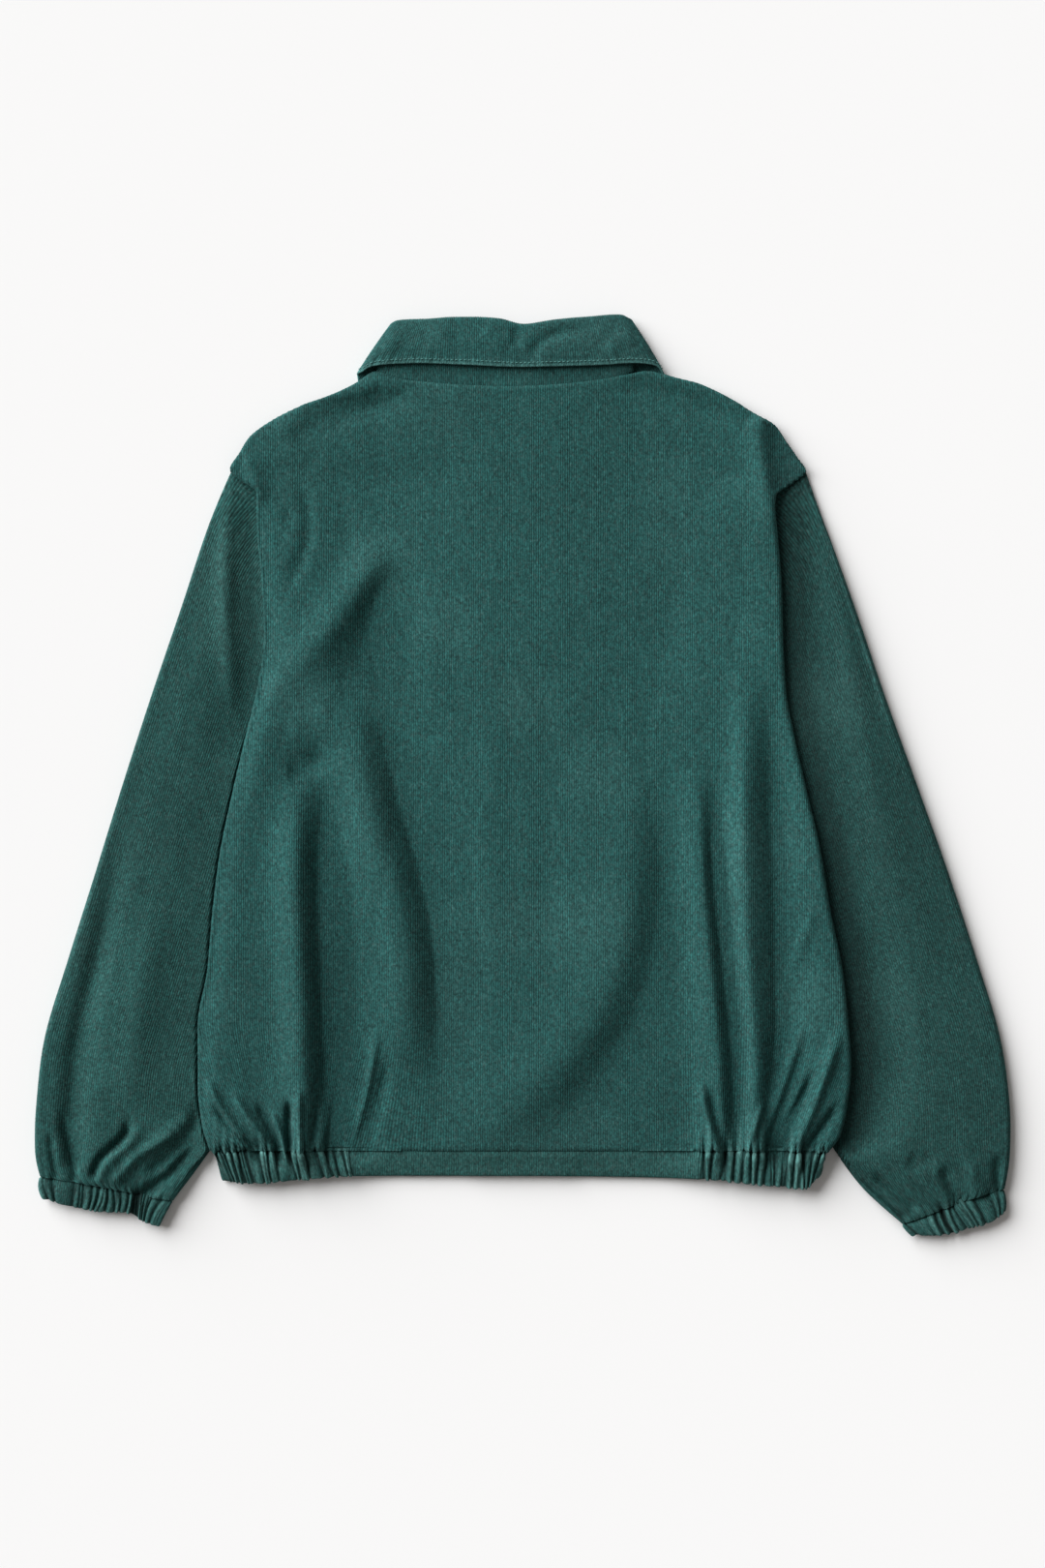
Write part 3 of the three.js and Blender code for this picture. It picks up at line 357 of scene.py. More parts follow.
def drift(x, y, length, seed):
    """Smooth random values between -1 and 1 over a plane."""
    values = np.random.RandomState(seed).uniform(-1, 1, (64, 64))
    u = np.asarray(x, dtype=float) / length + 40
    v = np.asarray(y, dtype=float) / length + 40
    i = np.floor(u).astype(int)
    j = np.floor(v).astype(int)
    s = ease(u - i)
    t = ease(v - j)
    low = mix(values[i % 64, j % 64], values[(i + 1) % 64, j % 64], s)
    high = mix(values[i % 64, (j + 1) % 64], values[(i + 1) % 64, (j + 1) % 64], s)
    return mix(low, high, t)


def crease_path(points):
    """A smooth line through a crease's points, with its share of the way at each place."""
    place = {"x": np.array([p[0] for p in points], float), "y": np.array([p[1] for p in points], float)}
    share = np.linspace(0, 1, 5 * (len(points) - 1) + 1)
    line = rows_at(place, share)
    return line["x"], line["y"], share


def crease_height(creases, x, y):
    """Height that a list of creases adds at each point."""
    total = np.zeros(np.broadcast(x, y).shape)
    for points, west, east, rise, runs_in in creases:
        px, py, share = crease_path(points)
        nearest = np.full(total.shape, 1e9)
        along = np.zeros(total.shape)
        for k in range(len(px) - 1):
            dx = px[k + 1] - px[k]
            dy = py[k + 1] - py[k]
            f = np.clip(((x - px[k]) * dx + (y - py[k]) * dy) / (dx * dx + dy * dy), 0, 1)
            off_x = x - px[k] - f * dx
            off_y = y - py[k] - f * dy
            reach = np.where(dx * off_y - dy * off_x > 0, east, west)
            distance = np.hypot(off_x, off_y) / reach
            closer = distance < nearest
            nearest = np.where(closer, distance, nearest)
            along = np.where(closer, mix(share[k], share[k + 1], f), along)
        ends = ease(along * 3 + 0.1)
        if not runs_in:
            ends = ends * ease((1 - along) * 3 + 0.1)
        total += CREASE_DEPTH * rise * np.exp(-(nearest**2)) * ends
    return total


EDGE = {side: monotone(BODY[side]["y"], BODY[side]["edge"]) for side in (-1, 1)}
UNDER = {side: monotone(BODY[side]["y"], BODY[side]["under"]) for side in (-1, 1)}
INNER = {side: monotone(SLEEVE_INNER[side]["y"], SLEEVE_INNER[side]["x"]) for side in (-1, 1)}


def centre_front(y):
    return -7.6 - 0.0176 * y


def sleeve_limit(side, y):
    """Where the sleeve under the body ends: the armhole, and below the armpit its inner fold."""
    return np.where(y > ARMPIT, UNDER[side](y), INNER[side](y))


# Beside the body's edge each sleeve stands up to a share of its height at once, and to all of it
# between two distances
BESIDE_BODY = {-1: (0.62, 0, 44), 1: (0.0, 18, 58)}


def turn_height(y):
    """Height of the cloth that the back turns under at its edges."""
    return mix(OVER_SLEEVE, SHOULDER_TURN, ease((y - SHOULDER_TIP) / 30))


def lift_over_sleeves(x, y, width):
    """Lift of the layers that pass over the sleeves, easing down over this width beside them."""
    left = ease((sleeve_limit(-1, y) + width - x) / (width - SLEEVE_MARGIN))
    right = ease((x - sleeve_limit(1, y) + width) / (width - SLEEVE_MARGIN))
    return turn_height(y) * np.maximum(left, right)


def gather(x, start, end, waves, seed):
    """Rounded gathers with sharp valleys between two places, uneven in width and height."""
    f = (x - start) / (end - start)
    inside = (f > 0) & (f < 1)
    phase = f * waves + 0.4 * wander(f * waves, 1.7, seed)
    size = 0.9 + 0.34 * wander(np.floor(phase), 0.77, seed + 1)
    wave = np.abs(np.sin(np.pi * phase)) ** 0.75
    split = 0.5 + 0.5 * wander(np.floor(phase), 0.83, seed + 2)
    notch = np.exp(-((phase - np.floor(phase) - 0.3 - 0.4 * split) / 0.1) ** 2) * (split > 0.62)
    return np.where(inside, wave * size - 0.4 * notch, 0.55)


def valley_share(wave, brim):
    """How deep each place lies in a valley of the gathers, from nought at the brim to one."""
    return np.clip((brim - wave) / brim, 0, 1)


# Meshes
def make_mesh(name, points, uv, first=None, last=None, flip=False, wear_and_highlight=None, closed=False, tone_and_painted_shade=None):
    """An object from a grid of points. Columns before first and after last share its edge points."""
    rows, columns = points.shape[:2]
    index = np.arange(rows * columns).reshape(rows, columns)
    if first is not None:
        k = np.arange(columns)[None, :]
        held = np.clip(k, first[:, None], last[:, None])
        index = np.take_along_axis(index, held, axis=1)
    a, b = index[:-1, :-1].ravel(), index[1:, :-1].ravel()
    c, d = index[1:, 1:].ravel(), index[:-1, 1:].ravel()
    if closed:
        a, b = index[:-1, :].ravel(), index[1:, :].ravel()
        c, d = np.roll(index, -1, axis=1)[1:, :].ravel(), np.roll(index, -1, axis=1)[:-1, :].ravel()
    faces = np.concatenate([np.stack([a, b, c], 1), np.stack([a, c, d], 1)])
    if flip:
        faces = faces[:, ::-1]
    proper = (faces[:, 0] != faces[:, 1]) & (faces[:, 1] != faces[:, 2]) & (faces[:, 2] != faces[:, 0])
    return mesh_object(name, points, uv, faces[proper], wear_and_highlight, tone_and_painted_shade)


def mesh_object(name, points, uv, faces, wear_and_highlight=None, tone_and_painted_shade=None):
    """An object from points in millimetres, with a map in millimetres of cloth, its wear and painted
    highlights, and its tone and painted shade.
    """
    used, faces = np.unique(faces, return_inverse=True)
    faces = faces.reshape(-1, 3)
    points = points.reshape(-1, 3)
    uv = uv.reshape(-1, 2)
    mesh = bpy.data.meshes.new(name)
    mesh.vertices.add(len(used))
    mesh.vertices.foreach_set("co", (points[used] * MM).astype(np.float32).ravel())
    mesh.loops.add(faces.size)
    mesh.loops.foreach_set("vertex_index", faces.ravel().astype(np.int32))
    mesh.polygons.add(len(faces))
    mesh.polygons.foreach_set("loop_start", np.arange(0, faces.size, 3, dtype=np.int32))
    mesh.polygons.foreach_set("use_smooth", np.ones(len(faces), dtype=bool))
    layer = mesh.uv_layers.new(name="UVMap")
    layer.data.foreach_set("uv", (uv[used][faces.ravel()]).astype(np.float32).ravel())
    # wear_and_highlight lightens worn places and paints highlights; tone_and_painted_shade darkens the tone
    # and paints shade
    for label, values, usual in (("wear_and_highlight", wear_and_highlight, 0.0), ("tone_and_painted_shade", tone_and_painted_shade, 1.0)):
        shown = np.full(len(used), usual) if values is None else values.ravel()[used]
        attribute = mesh.attributes.new(label, "FLOAT", "POINT")
        attribute.data.foreach_set("value", shown.astype(np.float32))
    mesh.update()
    mesh.validate()
    return placed(name, mesh)


def placed(name, data):
    """A new object in the scene, with this mesh, light or camera."""
    obj = bpy.data.objects.new(name, data)
    bpy.context.scene.collection.objects.link(obj)
    return obj


def normals_of(points, flip=False):
    """Unit normals of a grid of points, up where columns run right and rows run down."""
    down = np.gradient(points, axis=0)
    across = np.gradient(points, axis=1)
    n = np.cross(down, across)
    n /= np.maximum(np.linalg.norm(n, axis=2, keepdims=True), 1e-9)
    return -n if flip else n


def rib_columns(low, high):
    """Cloth positions of the columns between two limits, three to a rib, and which are grooves."""
    step = RIB / COLUMNS_PER_RIB
    k = np.arange(math.floor(low / step), math.ceil(high / step) + 1)
    return k * step, (k % COLUMNS_PER_RIB) == 0


def rib_relief(s, v, groove):
    """Height of the ribs above their grooves, a little uneven from rib to rib and along each."""
    rib = np.floor(s / RIB + 1e-6)
    uneven = 1 + 0.18 * np.sin(rib * 12.9898) + 0.12 * drift(rib * 5.0, v, 23.0, 7)
    return np.where(groove, 0.0, RIB_HEIGHT * uneven)


def limits(columns, low, high):
    """Clips a row of columns to limits for each row, and tells which columns hold the edges."""
    s = np.clip(columns[None, :], low[:, None], high[:, None])
    first = np.maximum(np.searchsorted(columns, low, side="right") - 1, 0)
    last = np.minimum(np.searchsorted(columns, high, side="left"), len(columns) - 1)
    return s, first, last


def uneven_rows(*stretches):
    """Row heights from the top down: each stretch is its top, its bottom and its spacing."""
    rows = []
    for top, bottom, spacing in stretches:
        count = max(1, round((top - bottom) / spacing))
        rows.extend(np.linspace(top, bottom, count, endpoint=False))
    rows.append(stretches[-1][1])
    return np.array(rows)


# The back, with its rows in stretches from the top down: top, bottom and spacing
BACK_ROWS = [
    (324.6, 300, 1.3), (300, 262, 2.2), (262, 228, 3), (228, 140, 9), (140, -170, 12.5), (-170, -240, 8),
    (-240, -300, 4.6), (-300, HEM_SEAM + 1, 1.5), (HEM_SEAM + 1, HEM_SEAM - 0.6, 0.8),
]
# How far beside the sleeves the back and the fronts come down
BACK_EASES_OVER = 85
FRONT_EASES_OVER = 45
# How high the back stands off what it lies on: at its sides, more below, more on the right, and less
# in the middle, with a soft lowest level
SIDE_LOFT = 1.2
LOW_LOFT = 2.6
RIGHT_LOFT = 3.6
MIDDLE_LOFT = 0.9
SIDE_REACH = 60
FLOOR_SOFTNESS = 1.4
# The rounded left edge, the cap of the right sleeve, and the gathers above the hem
LEFT_ROLL = 4.2
RIGHT_CAP = 4.4
HEM_RIPPLE = 3.6


def hem_gather(x):
    """Gathers of the hem's elastic, on both sides, and how strongly each place is gathered."""
    left = gather(x, HEM["x"][0], HEM_LEFT_END, HEM_WAVES, 11)
    right = gather(x, HEM_RIGHT_END, HEM["x"][-1], HEM_WAVES, 21)
    zone = np.maximum(ease((HEM_LEFT_END + 4 - x) / 8), ease((x - HEM_RIGHT_END + 4) / 8))
    return np.where(x < 0, left, right), zone


def back_height(x, y, edge_distance):
    """Upper face of the back."""
    under = lift_over_sleeves(x, y, BACK_EASES_OVER)
    stand = OVER_LOWER_FRONT * ease((165 - np.abs(x - centre_front(y))) / 145)
    rest = np.maximum(np.maximum(under, stand), OVER_COLLAR * ease((y - 120) / 60)) + BACK_REST
    at_sides = np.exp(-((edge_distance / SIDE_REACH) ** 2))
    low = ease((30 - y) / 120)
    right_side = ease((x - 150) / 60)
    loft = SIDE_LOFT + LOW_LOFT * low + RIGHT_LOFT * right_side
    soft = loft * ease((270 - y) / 80) * at_sides
    soft = soft + MIDDLE_LOFT * ease((150 - edge_distance) / 100)
    floor = np.maximum(under, stand) + CLOTH + 0.5
    left_roll = LEFT_ROLL * np.exp(-(((x - EDGE[-1](y)) / 11) ** 2))
    left_roll = left_roll * ease((236 - y) / 20) * ease((y + 320) / 60)
    right_cap = RIGHT_CAP * ease((x - 190) / 34) * ease((y - 205) / 30) * ease((300 - y) / 20)
    soft = soft - left_roll - right_cap
    wave, zone = hem_gather(x)
    ripple_reach = 9 + 4 * wander(x, 11, 32)
    ripple = HEM_RIPPLE * (wave - 0.6) * zone * np.exp(-((y - HEM_SEAM) / ripple_reach) ** 2)
    ripple += 0.9 * zone * wander(x, 9.5, 31) * np.exp(-((y - HEM_SEAM) / 60) ** 2)
    mottle = 0.28 * drift(x, y, 46, 3) + 0.16 * drift(x, y, 19, 4)
    above = rest + soft + crease_height(BACK_CREASES, x, y) + ripple + mottle - floor
    return floor + (above + np.sqrt(above**2 + FLOOR_SOFTNESS)) / 2


def neck_dip(x, y):
    """How far the back's neckline dips below the points of the neck."""
    half = np.where(x < NECK_MIDDLE, 108, 92)
    points = sum(np.exp(-(((x - place) / reach) ** 2)) for place, reach in NECK_POINTS)
    dip = NECK_DIP * np.maximum(0, 1 - ((x - NECK_MIDDLE) / half) ** 2) * ease((y - 262) / 62)
    return dip - NECK_POINT_RISE * points * ease((y - 300) / 22)


def drawn(s, y):
    """Where the elastic at the hem draws each rib of the back to."""
    shift = monotone(HEM_DRAW["x"], HEM_DRAW["shift"])(s)
    return s + shift * np.clip((HEM_DRAW_START - y) / (HEM_DRAW_START - HEM_SEAM), 0, 1) ** 1.3


def make_back():
    rows = uneven_rows(*BACK_ROWS)
    y = rows[:, None]
    fold = {}
    for side in (-1, 1):
        edge = EDGE[side](rows)
        low = turn_height(rows)
        high = back_height(edge - side * FOLD_REACH, rows, np.full(len(rows), FOLD_REACH))
        radius = (high - low) / 2
        across = np.minimum(radius, FOLD_REACH)
        length = math.pi * np.sqrt((radius**2 + across**2) / 2)
        tuck = side * (edge - side * across - UNDER[side](rows)) - 0.4
        start = edge - side * across
        ribs = np.linspace(-340, 340, 1361)
        rib = np.array([np.interp(x, drawn(ribs, height), ribs) for x, height in zip(start, rows)])
        fold[side] = dict(start=start, rib=rib, low=low, radius=radius, across=across,
                          length=length, tuck=np.maximum(tuck, 1.0))
    low_limit = fold[-1]["rib"] - fold[-1]["length"] - fold[-1]["tuck"]
    high_limit = fold[1]["rib"] + fold[1]["length"] + fold[1]["tuck"]
    columns, groove = rib_columns(low_limit.min() - 2, high_limit.max() + 2)
    s, first, last = limits(columns, low_limit, high_limit)
    x = drawn(np.clip(s, fold[-1]["rib"][:, None], fold[1]["rib"][:, None]), y)
    distance = np.minimum(x - EDGE[-1](y), EDGE[1](y) - x)
    z = back_height(x, y, distance)
    for side in (-1, 1):
        f = {key: value[:, None] for key, value in fold[side].items()}
        beyond = np.maximum(side * (s - f["rib"]), 0)
        angle = math.pi * np.clip(beyond / f["length"], 0, 1)
        past = np.maximum(beyond - f["length"], 0)
        turned = beyond > 0
        x = np.where(turned, f["start"] + side * (f["across"] * np.sin(angle) - past), x)
        z = np.where(turned, f["low"] + f["radius"] * (1 + np.cos(angle)), z)
    rolled = 1.5 * np.clip((HEM_SEAM + 3 - y) / 3.6, 0, 1) ** 2 + 1.3 * np.clip((y - 322.4) / 2.2, 0, 1) ** 2
    z = z - rolled * (z > turn_height(y) + 2)
    points = np.stack([x, y - neck_dip(x, y), z], axis=2)
    uv = np.stack([s, np.broadcast_to(y, s.shape)], axis=2)
    normal = normals_of(points)
    points = points + normal * (rib_relief(s, y, groove[None, :]) - GROOVE_SINK)[..., None]
    wave, zone = hem_gather(x)
    ends = 2.6 * (wave - 0.5) + 1.1 * wander(x, 2.6, 33)
    points[..., 1] -= ends * zone * ease((HEM_SEAM + 7 - y) / 7) * (z > turn_height(y) + 2)
    # Painted highlight on the crests of the gathers and on the tufts at the hem seam, with faint random wear
    near_hem = np.exp(-((y - HEM_SEAM) / 22) ** 2)
    tufts = 0.5 * ease((HEM_SEAM + 3 - y) / 2) * (0.5 + 0.5 * wander(x, 2.2, 34)) * (0.35 + 0.65 * zone)
    wear_and_highlight = (0.6 * (wave - 0.6) * zone + tufts) * near_hem + 0.12 * drift(x, y, 60, 5)
    # Painted shade in the valleys of the gathers above the hem
    valley = 0.5 * valley_share(wave, 0.5) * zone * np.exp(-((y - HEM_SEAM) / 10) ** 2)
    # Painted shade on the cap over the right sleeve, which is turned from the light; the back is also a
    # little darker towards the bottom
    cap = ease((x - 188) / 14) * ease((y - 212) / 30)
    tone_and_painted_shade = (1.04 - 0.1 * ease((40 - y) / 260) - 0.22 * cap) * (1 - valley)
    return make_mesh("back_cloth", points, uv, first, last, wear_and_highlight=wear_and_highlight, tone_and_painted_shade=tone_and_painted_shade)


# The fronts, under the back
FRONT_ROWS = [(316, 200, 6), (200, 66, 14), (66, 26, 5), (26, HEM_SEAM, 14)]
FRONT_LIFT_TOP = 62
SEAM_GAP = 0.9
NECK_SAMPLES = 120


def front_height(x, y, overlap):
    """Underside of a front. Above the armpit its armhole edge stays down beside the sleeve."""
    below = ease((FRONT_LIFT_TOP - y) / 26)
    stand = overlap * ease((52 - np.abs(x - centre_front(y))) / 32)
    collar = OVER_COLLAR * ease((y - 165) / 28)
    lift = lift_over_sleeves(x, np.minimum(y, ARMPIT - 0.01), FRONT_EASES_OVER) * below
    sleeve = np.where(y < FRONT_LIFT_TOP, lift, 0)
    return np.maximum(np.maximum(stand, collar), sleeve)


def make_front(side):
    overlap = {-1: OVER_BUTTONS, 1: OVER_LOWER_FRONT}[side]
    rows = uneven_rows(*FRONT_ROWS)
    seam = rows_at(COLLAR, np.linspace(0, 1, NECK_SAMPLES))
    quarter = NECK_SAMPLES // 4
    half = slice(0, quarter) if side < 0 else slice(NECK_SAMPLES - quarter, NECK_SAMPLES)
    order = np.argsort(seam["seam_y"][half])
    neck_x = np.interp(rows, seam["seam_y"][half][order], seam["seam_x"][half][order])
    stand = centre_front(rows) - side * STAND_HALF
    blend = ease((rows - FRONT_NECK) / 9)
    inner = mix(stand, neck_x + side * 1.0, blend)
    outer = UNDER[side](rows) - side * SEAM_GAP
    low = np.minimum(inner, outer)
    high = np.maximum(inner, outer)
    columns, groove = rib_columns(low.min() - 2, high.max() + 2)
    s, first, last = limits(columns, low, high)
    y = rows[:, None]
    z = front_height(s, y, overlap) + CLOTH / 2
    points = np.stack([s, np.broadcast_to(y, s.shape), z], axis=2)
    uv = np.stack([s, np.broadcast_to(y, s.shape)], axis=2)
    normal = normals_of(points, flip=True)
    points = points + normal * rib_relief(s, y, groove[None, :])[..., None]
    return make_mesh(f"front_{SIDE_NAMES[side]}_cloth", points, uv, first, last, flip=True)


# The sleeves. The right one is painted darker, as painted shade for its pile leaning away from the light
SLEEVE_PAINTED_SHADE = {-1: 0.97, 1: 0.8}
# Shares of the way down a sleeve where its armhole rows end, and where its gathers begin
ARMHOLE_ROWS_END = 0.12
GATHERS_START = 0.84
FULL_FROM = 0.86
SLEEVE_LEAST = 2.4


def make_sleeve(side):
    u = np.concatenate([np.linspace(0, ARMHOLE_ROWS_END, 16, endpoint=False),
                        np.linspace(ARMHOLE_ROWS_END, GATHERS_START, 44, endpoint=False),
                        np.linspace(GATHERS_START, 1.0, 26)])
    row = rows_at(SLEEVE[side], u)
    width = np.hypot(row["in_x"] - row["out_x"], row["in_y"] - row["out_y"])
    edge_dx = np.gradient(row["out_x"], u)
    edge_dy = np.gradient(row["out_y"], u)
    turn = np.abs(edge_dx * (row["in_y"] - row["out_y"]) - edge_dy * (row["in_x"] - row["out_x"]))
    slant = turn / (width * np.hypot(edge_dx, edge_dy))
    inner_fold = mix(SLEEVE_PRESSED, row["fold"], ease((u - FULL_FROM) / 0.1))
    outer_radius = np.minimum(row["fold"] / 2, FOLD_REACH)
    inner_radius = np.minimum(inner_fold / 2, FOLD_REACH)
    outer_arc = math.pi * np.sqrt(((row["fold"] / 2) ** 2 + outer_radius**2) / 2)
    inner_arc = math.pi * np.sqrt(((inner_fold / 2) ** 2 + inner_radius**2) / 2)
    flat = width - outer_radius - inner_radius
    girth = outer_arc / 2 + flat + inner_arc / 2
    cut = girth * slant
    gathered = u > FULL_FROM
    full = cut[np.argmax(gathered)]
    cut = np.where(gathered, np.maximum(cut, full), cut)
    columns, groove = rib_columns(-cut.max() - 2, cut.max() + 2)
    c, first, last = limits(columns, -cut, cut)
    a = np.abs(c) * (girth / cut)[:, None]
    layer = np.sign(c)
    out_half, in_half = (outer_arc / 2)[:, None], (inner_arc / 2)[:, None]
    r_out, r_in = outer_radius[:, None], inner_radius[:, None]
    w, level = width[:, None], flat[:, None]
    fold_out, fold_in = row["fold"][:, None], inner_fold[:, None]
    on_outer = a < out_half
    on_inner = a > out_half + level
    angle_out = 0.5 * math.pi * np.clip(a / out_half, 0, 1)
    angle_in = 0.5 * math.pi * np.clip((a - out_half - level) / in_half, 0, 1)
    across = r_out + np.clip(a - out_half, 0, level)
    across = np.where(on_outer, r_out - r_out * np.cos(angle_out), across)
    across = np.where(on_inner, w - r_in + r_in * np.sin(angle_in), across)
    f = np.clip(across / w, 0, 1)
    arm_y = mix(SHOULDER_TIP, ARMPIT, f)
    arm_points = BODY[side]["y"] <= 248
    arm_curve = monotone(np.append(BODY[side]["y"][arm_points], SHOULDER_TIP),
                         np.append(BODY[side]["under"][arm_points], SLEEVE[side]["out_x"][0]))
    x = mix(row["out_x"][:, None], row["in_x"][:, None], f)
    y = mix(row["out_y"][:, None], row["in_y"][:, None], f)
    at_arm = (1 - ease(u / 0.16))[:, None]
    at_cuff = ease((u - 0.9) / 0.1)[:, None]
    cuff = rows_at(CUFF[side], f.ravel())
    cuff_x = cuff["seam_x"].reshape(f.shape)
    cuff_y = cuff["seam_y"].reshape(f.shape)
    dx = (arm_curve(arm_y) - x) * at_arm + (cuff_x - x) * at_cuff
    dy = (arm_y - y) * at_arm + (cuff_y + 0.8 - y) * at_cuff
    x = x + dx
    y = y + dy
    beside = side * (x - EDGE[side](y))
    at_once, near, far = BESIDE_BODY[side]
    at_once = at_once * ease((50 - y) / 60)
    clear = at_once * ease((beside + 0.6) / 2.8) + (1 - at_once) * ease((beside - near) / (far - near))
    clear_of_hem = ease((HEM_SEAM + 6 - y) / 14)
    free = mix(clear, 1.0, clear_of_hem)
    puff = 0.5 * drift(x, y, 42, 13) + 0.25 * drift(x, y, 17, 14)
    creased = free * (row["loft"][:, None] + puff)
    creases = mix(clear, 1.0, np.maximum(clear_of_hem, 0.5)) * crease_height(SLEEVE_CREASES[side], x, y)
    middle = SLEEVE_PRESSED + np.maximum(0, creased)
    near_outer = (1 - ease(across / 40)) * ease(u / 0.1)[:, None]
    top = mix(middle, np.maximum(SLEEVE_PRESSED, fold_out), near_outer)
    near_inner = ease((f - 0.8) / 0.2) * ease((u - GATHERS_START) / 0.1)[:, None]
    top = mix(top, fold_in, near_inner)
    top = np.maximum(top + creases * ease(across / 8) * ease((w - across) / 6), SLEEVE_LEAST)
    wave = cuff_gather(side, f)
    near_cuff = ease((u - 0.93) / 0.07)[:, None]
    top = top + (2.8 * (wave - 0.6) + 0.5 * wander(f * 140, 2.0, 47)) * near_cuff
    billow = 0.8 * wander(f * CUFF_GATHERS[side], 1.2, 43 + side)
    top = top + billow * ease((u - GATHERS_START) / 0.12)[:, None]
    mid_out = fold_out / 2
    mid_in = fold_in / 2
    upper = np.where(on_outer, mid_out + mid_out * np.sin(angle_out), top)
    upper = np.where(on_inner, mid_in + mid_in * np.cos(angle_in), upper)
    lower = np.where(on_outer, mid_out - mid_out * np.sin(angle_out), 0.0)
    lower = np.where(on_inner, mid_in - mid_in * np.cos(angle_in), lower)
    z = np.where(layer >= 0, upper, lower)
    points = np.stack([x, y, z], axis=2)
    flip = side > 0
    v = np.cumsum(np.append(0, np.hypot(np.diff(row["out_x"]), np.diff(row["out_y"]))))
    uv = np.stack([c, np.broadcast_to(-v[:, None], c.shape)], axis=2)
    normal = normals_of(points, flip)
    relief = rib_relief(c, -v[:, None], groove[None, :])
    points = points + normal * (relief - GROOVE_SINK)[..., None]
    points[..., 2] = np.maximum(points[..., 2], 0.0)
    # Lighter tufts along the cuff seam, painted highlight on the crests of the cuff's gathers, and faint
    # random wear
    seam_lightening = 0.5 * ease((u - 0.975) / 0.025)[:, None] * (0.5 + 0.5 * wander(f * 140, 2.6, 48))
    wear_and_highlight = (0.6 * (wave - 0.6) * near_cuff + seam_lightening) * (layer > 0) + 0.12 * drift(x, y, 60, 5)
    # Painted shadow of the body's edge on the right sleeve beside it
    painted_shadow = 0.34 * ease((30 - beside) / 16) * (side > 0) * (1 - 0.6 * clear_of_hem)
    # Painted shade in the valleys of the gathers at the cuff
    valley = 0.5 * valley_share(wave, 0.5) * near_cuff * (layer > 0)
    # The sleeve's tone is also lighter near the armhole
    tone_and_painted_shade = SLEEVE_PAINTED_SHADE[side] * (1 + 0.12 * (1 - ease(u / 0.3)))[:, None] * (1 - painted_shadow) * (1 - valley)
    return make_mesh(f"sleeve_{SIDE_NAMES[side]}_cloth", points, uv, first, last, flip, wear_and_highlight, tone_and_painted_shade=tone_and_painted_shade)


# Bands: cuffs and hem. Each row has its share of the way from the seam to the edge, then how deep the
# cloth is turned in
BAND_ROWS = [
    (-0.14, 3.2), (-0.08, 1.9), (0.0, 0.8), (0.06, 0.15), (0.25, 0.0), (0.4, 0.0), (0.55, 0.0), (0.7, 0.0),
    (0.84, 0.0), (0.94, 0.1), (0.99, 0.5), (1.0, 1.1), (0.98, 1.9), (0.9, 2.2),
]
# The rows past this one turn in, and move along its normals
LAST_OUTSIDE_ROW = 9
# Painted shade: the valleys of the gathers are painted darker by this share
VALLEY_SHADE = 0.66
BAND_BRIM = 0.55
# How high the gathers stand, and how wide the cloth of each band is
CUFF_SWELL = 4.0
HEM_SWELL = 4.4
CUFF_WIDTH = 19
HEM_WIDTH = 20
# How far the hem's ends are drawn in, and over what length
DRAWN_LEFT = (9, 30)
DRAWN_RIGHT = (8, 26)


def band_bulge(v):
    """How far a stuffed band stands out at each share of the way from its seam to its edge."""
    return math.sin(math.pi * min(1, max(0, v))) ** 0.6


def cuff_gather(side, f):
    """Gathers along a cuff from its outer end. Each cuff has one deep valley and a plainer stretch."""
    wave = gather(f, -0.02, 1.02, CUFF_GATHERS[side], 41 + side)
    valley, plain_from, plain_to = CUFF_VALLEY[side]
    plain = ease((f - plain_from) / 0.05) * ease((plain_to - f) / 0.05)
    return mix(wave, 0.72, 0.75 * plain) - 0.9 * np.exp(-(((f - valley) / 0.025) ** 2))


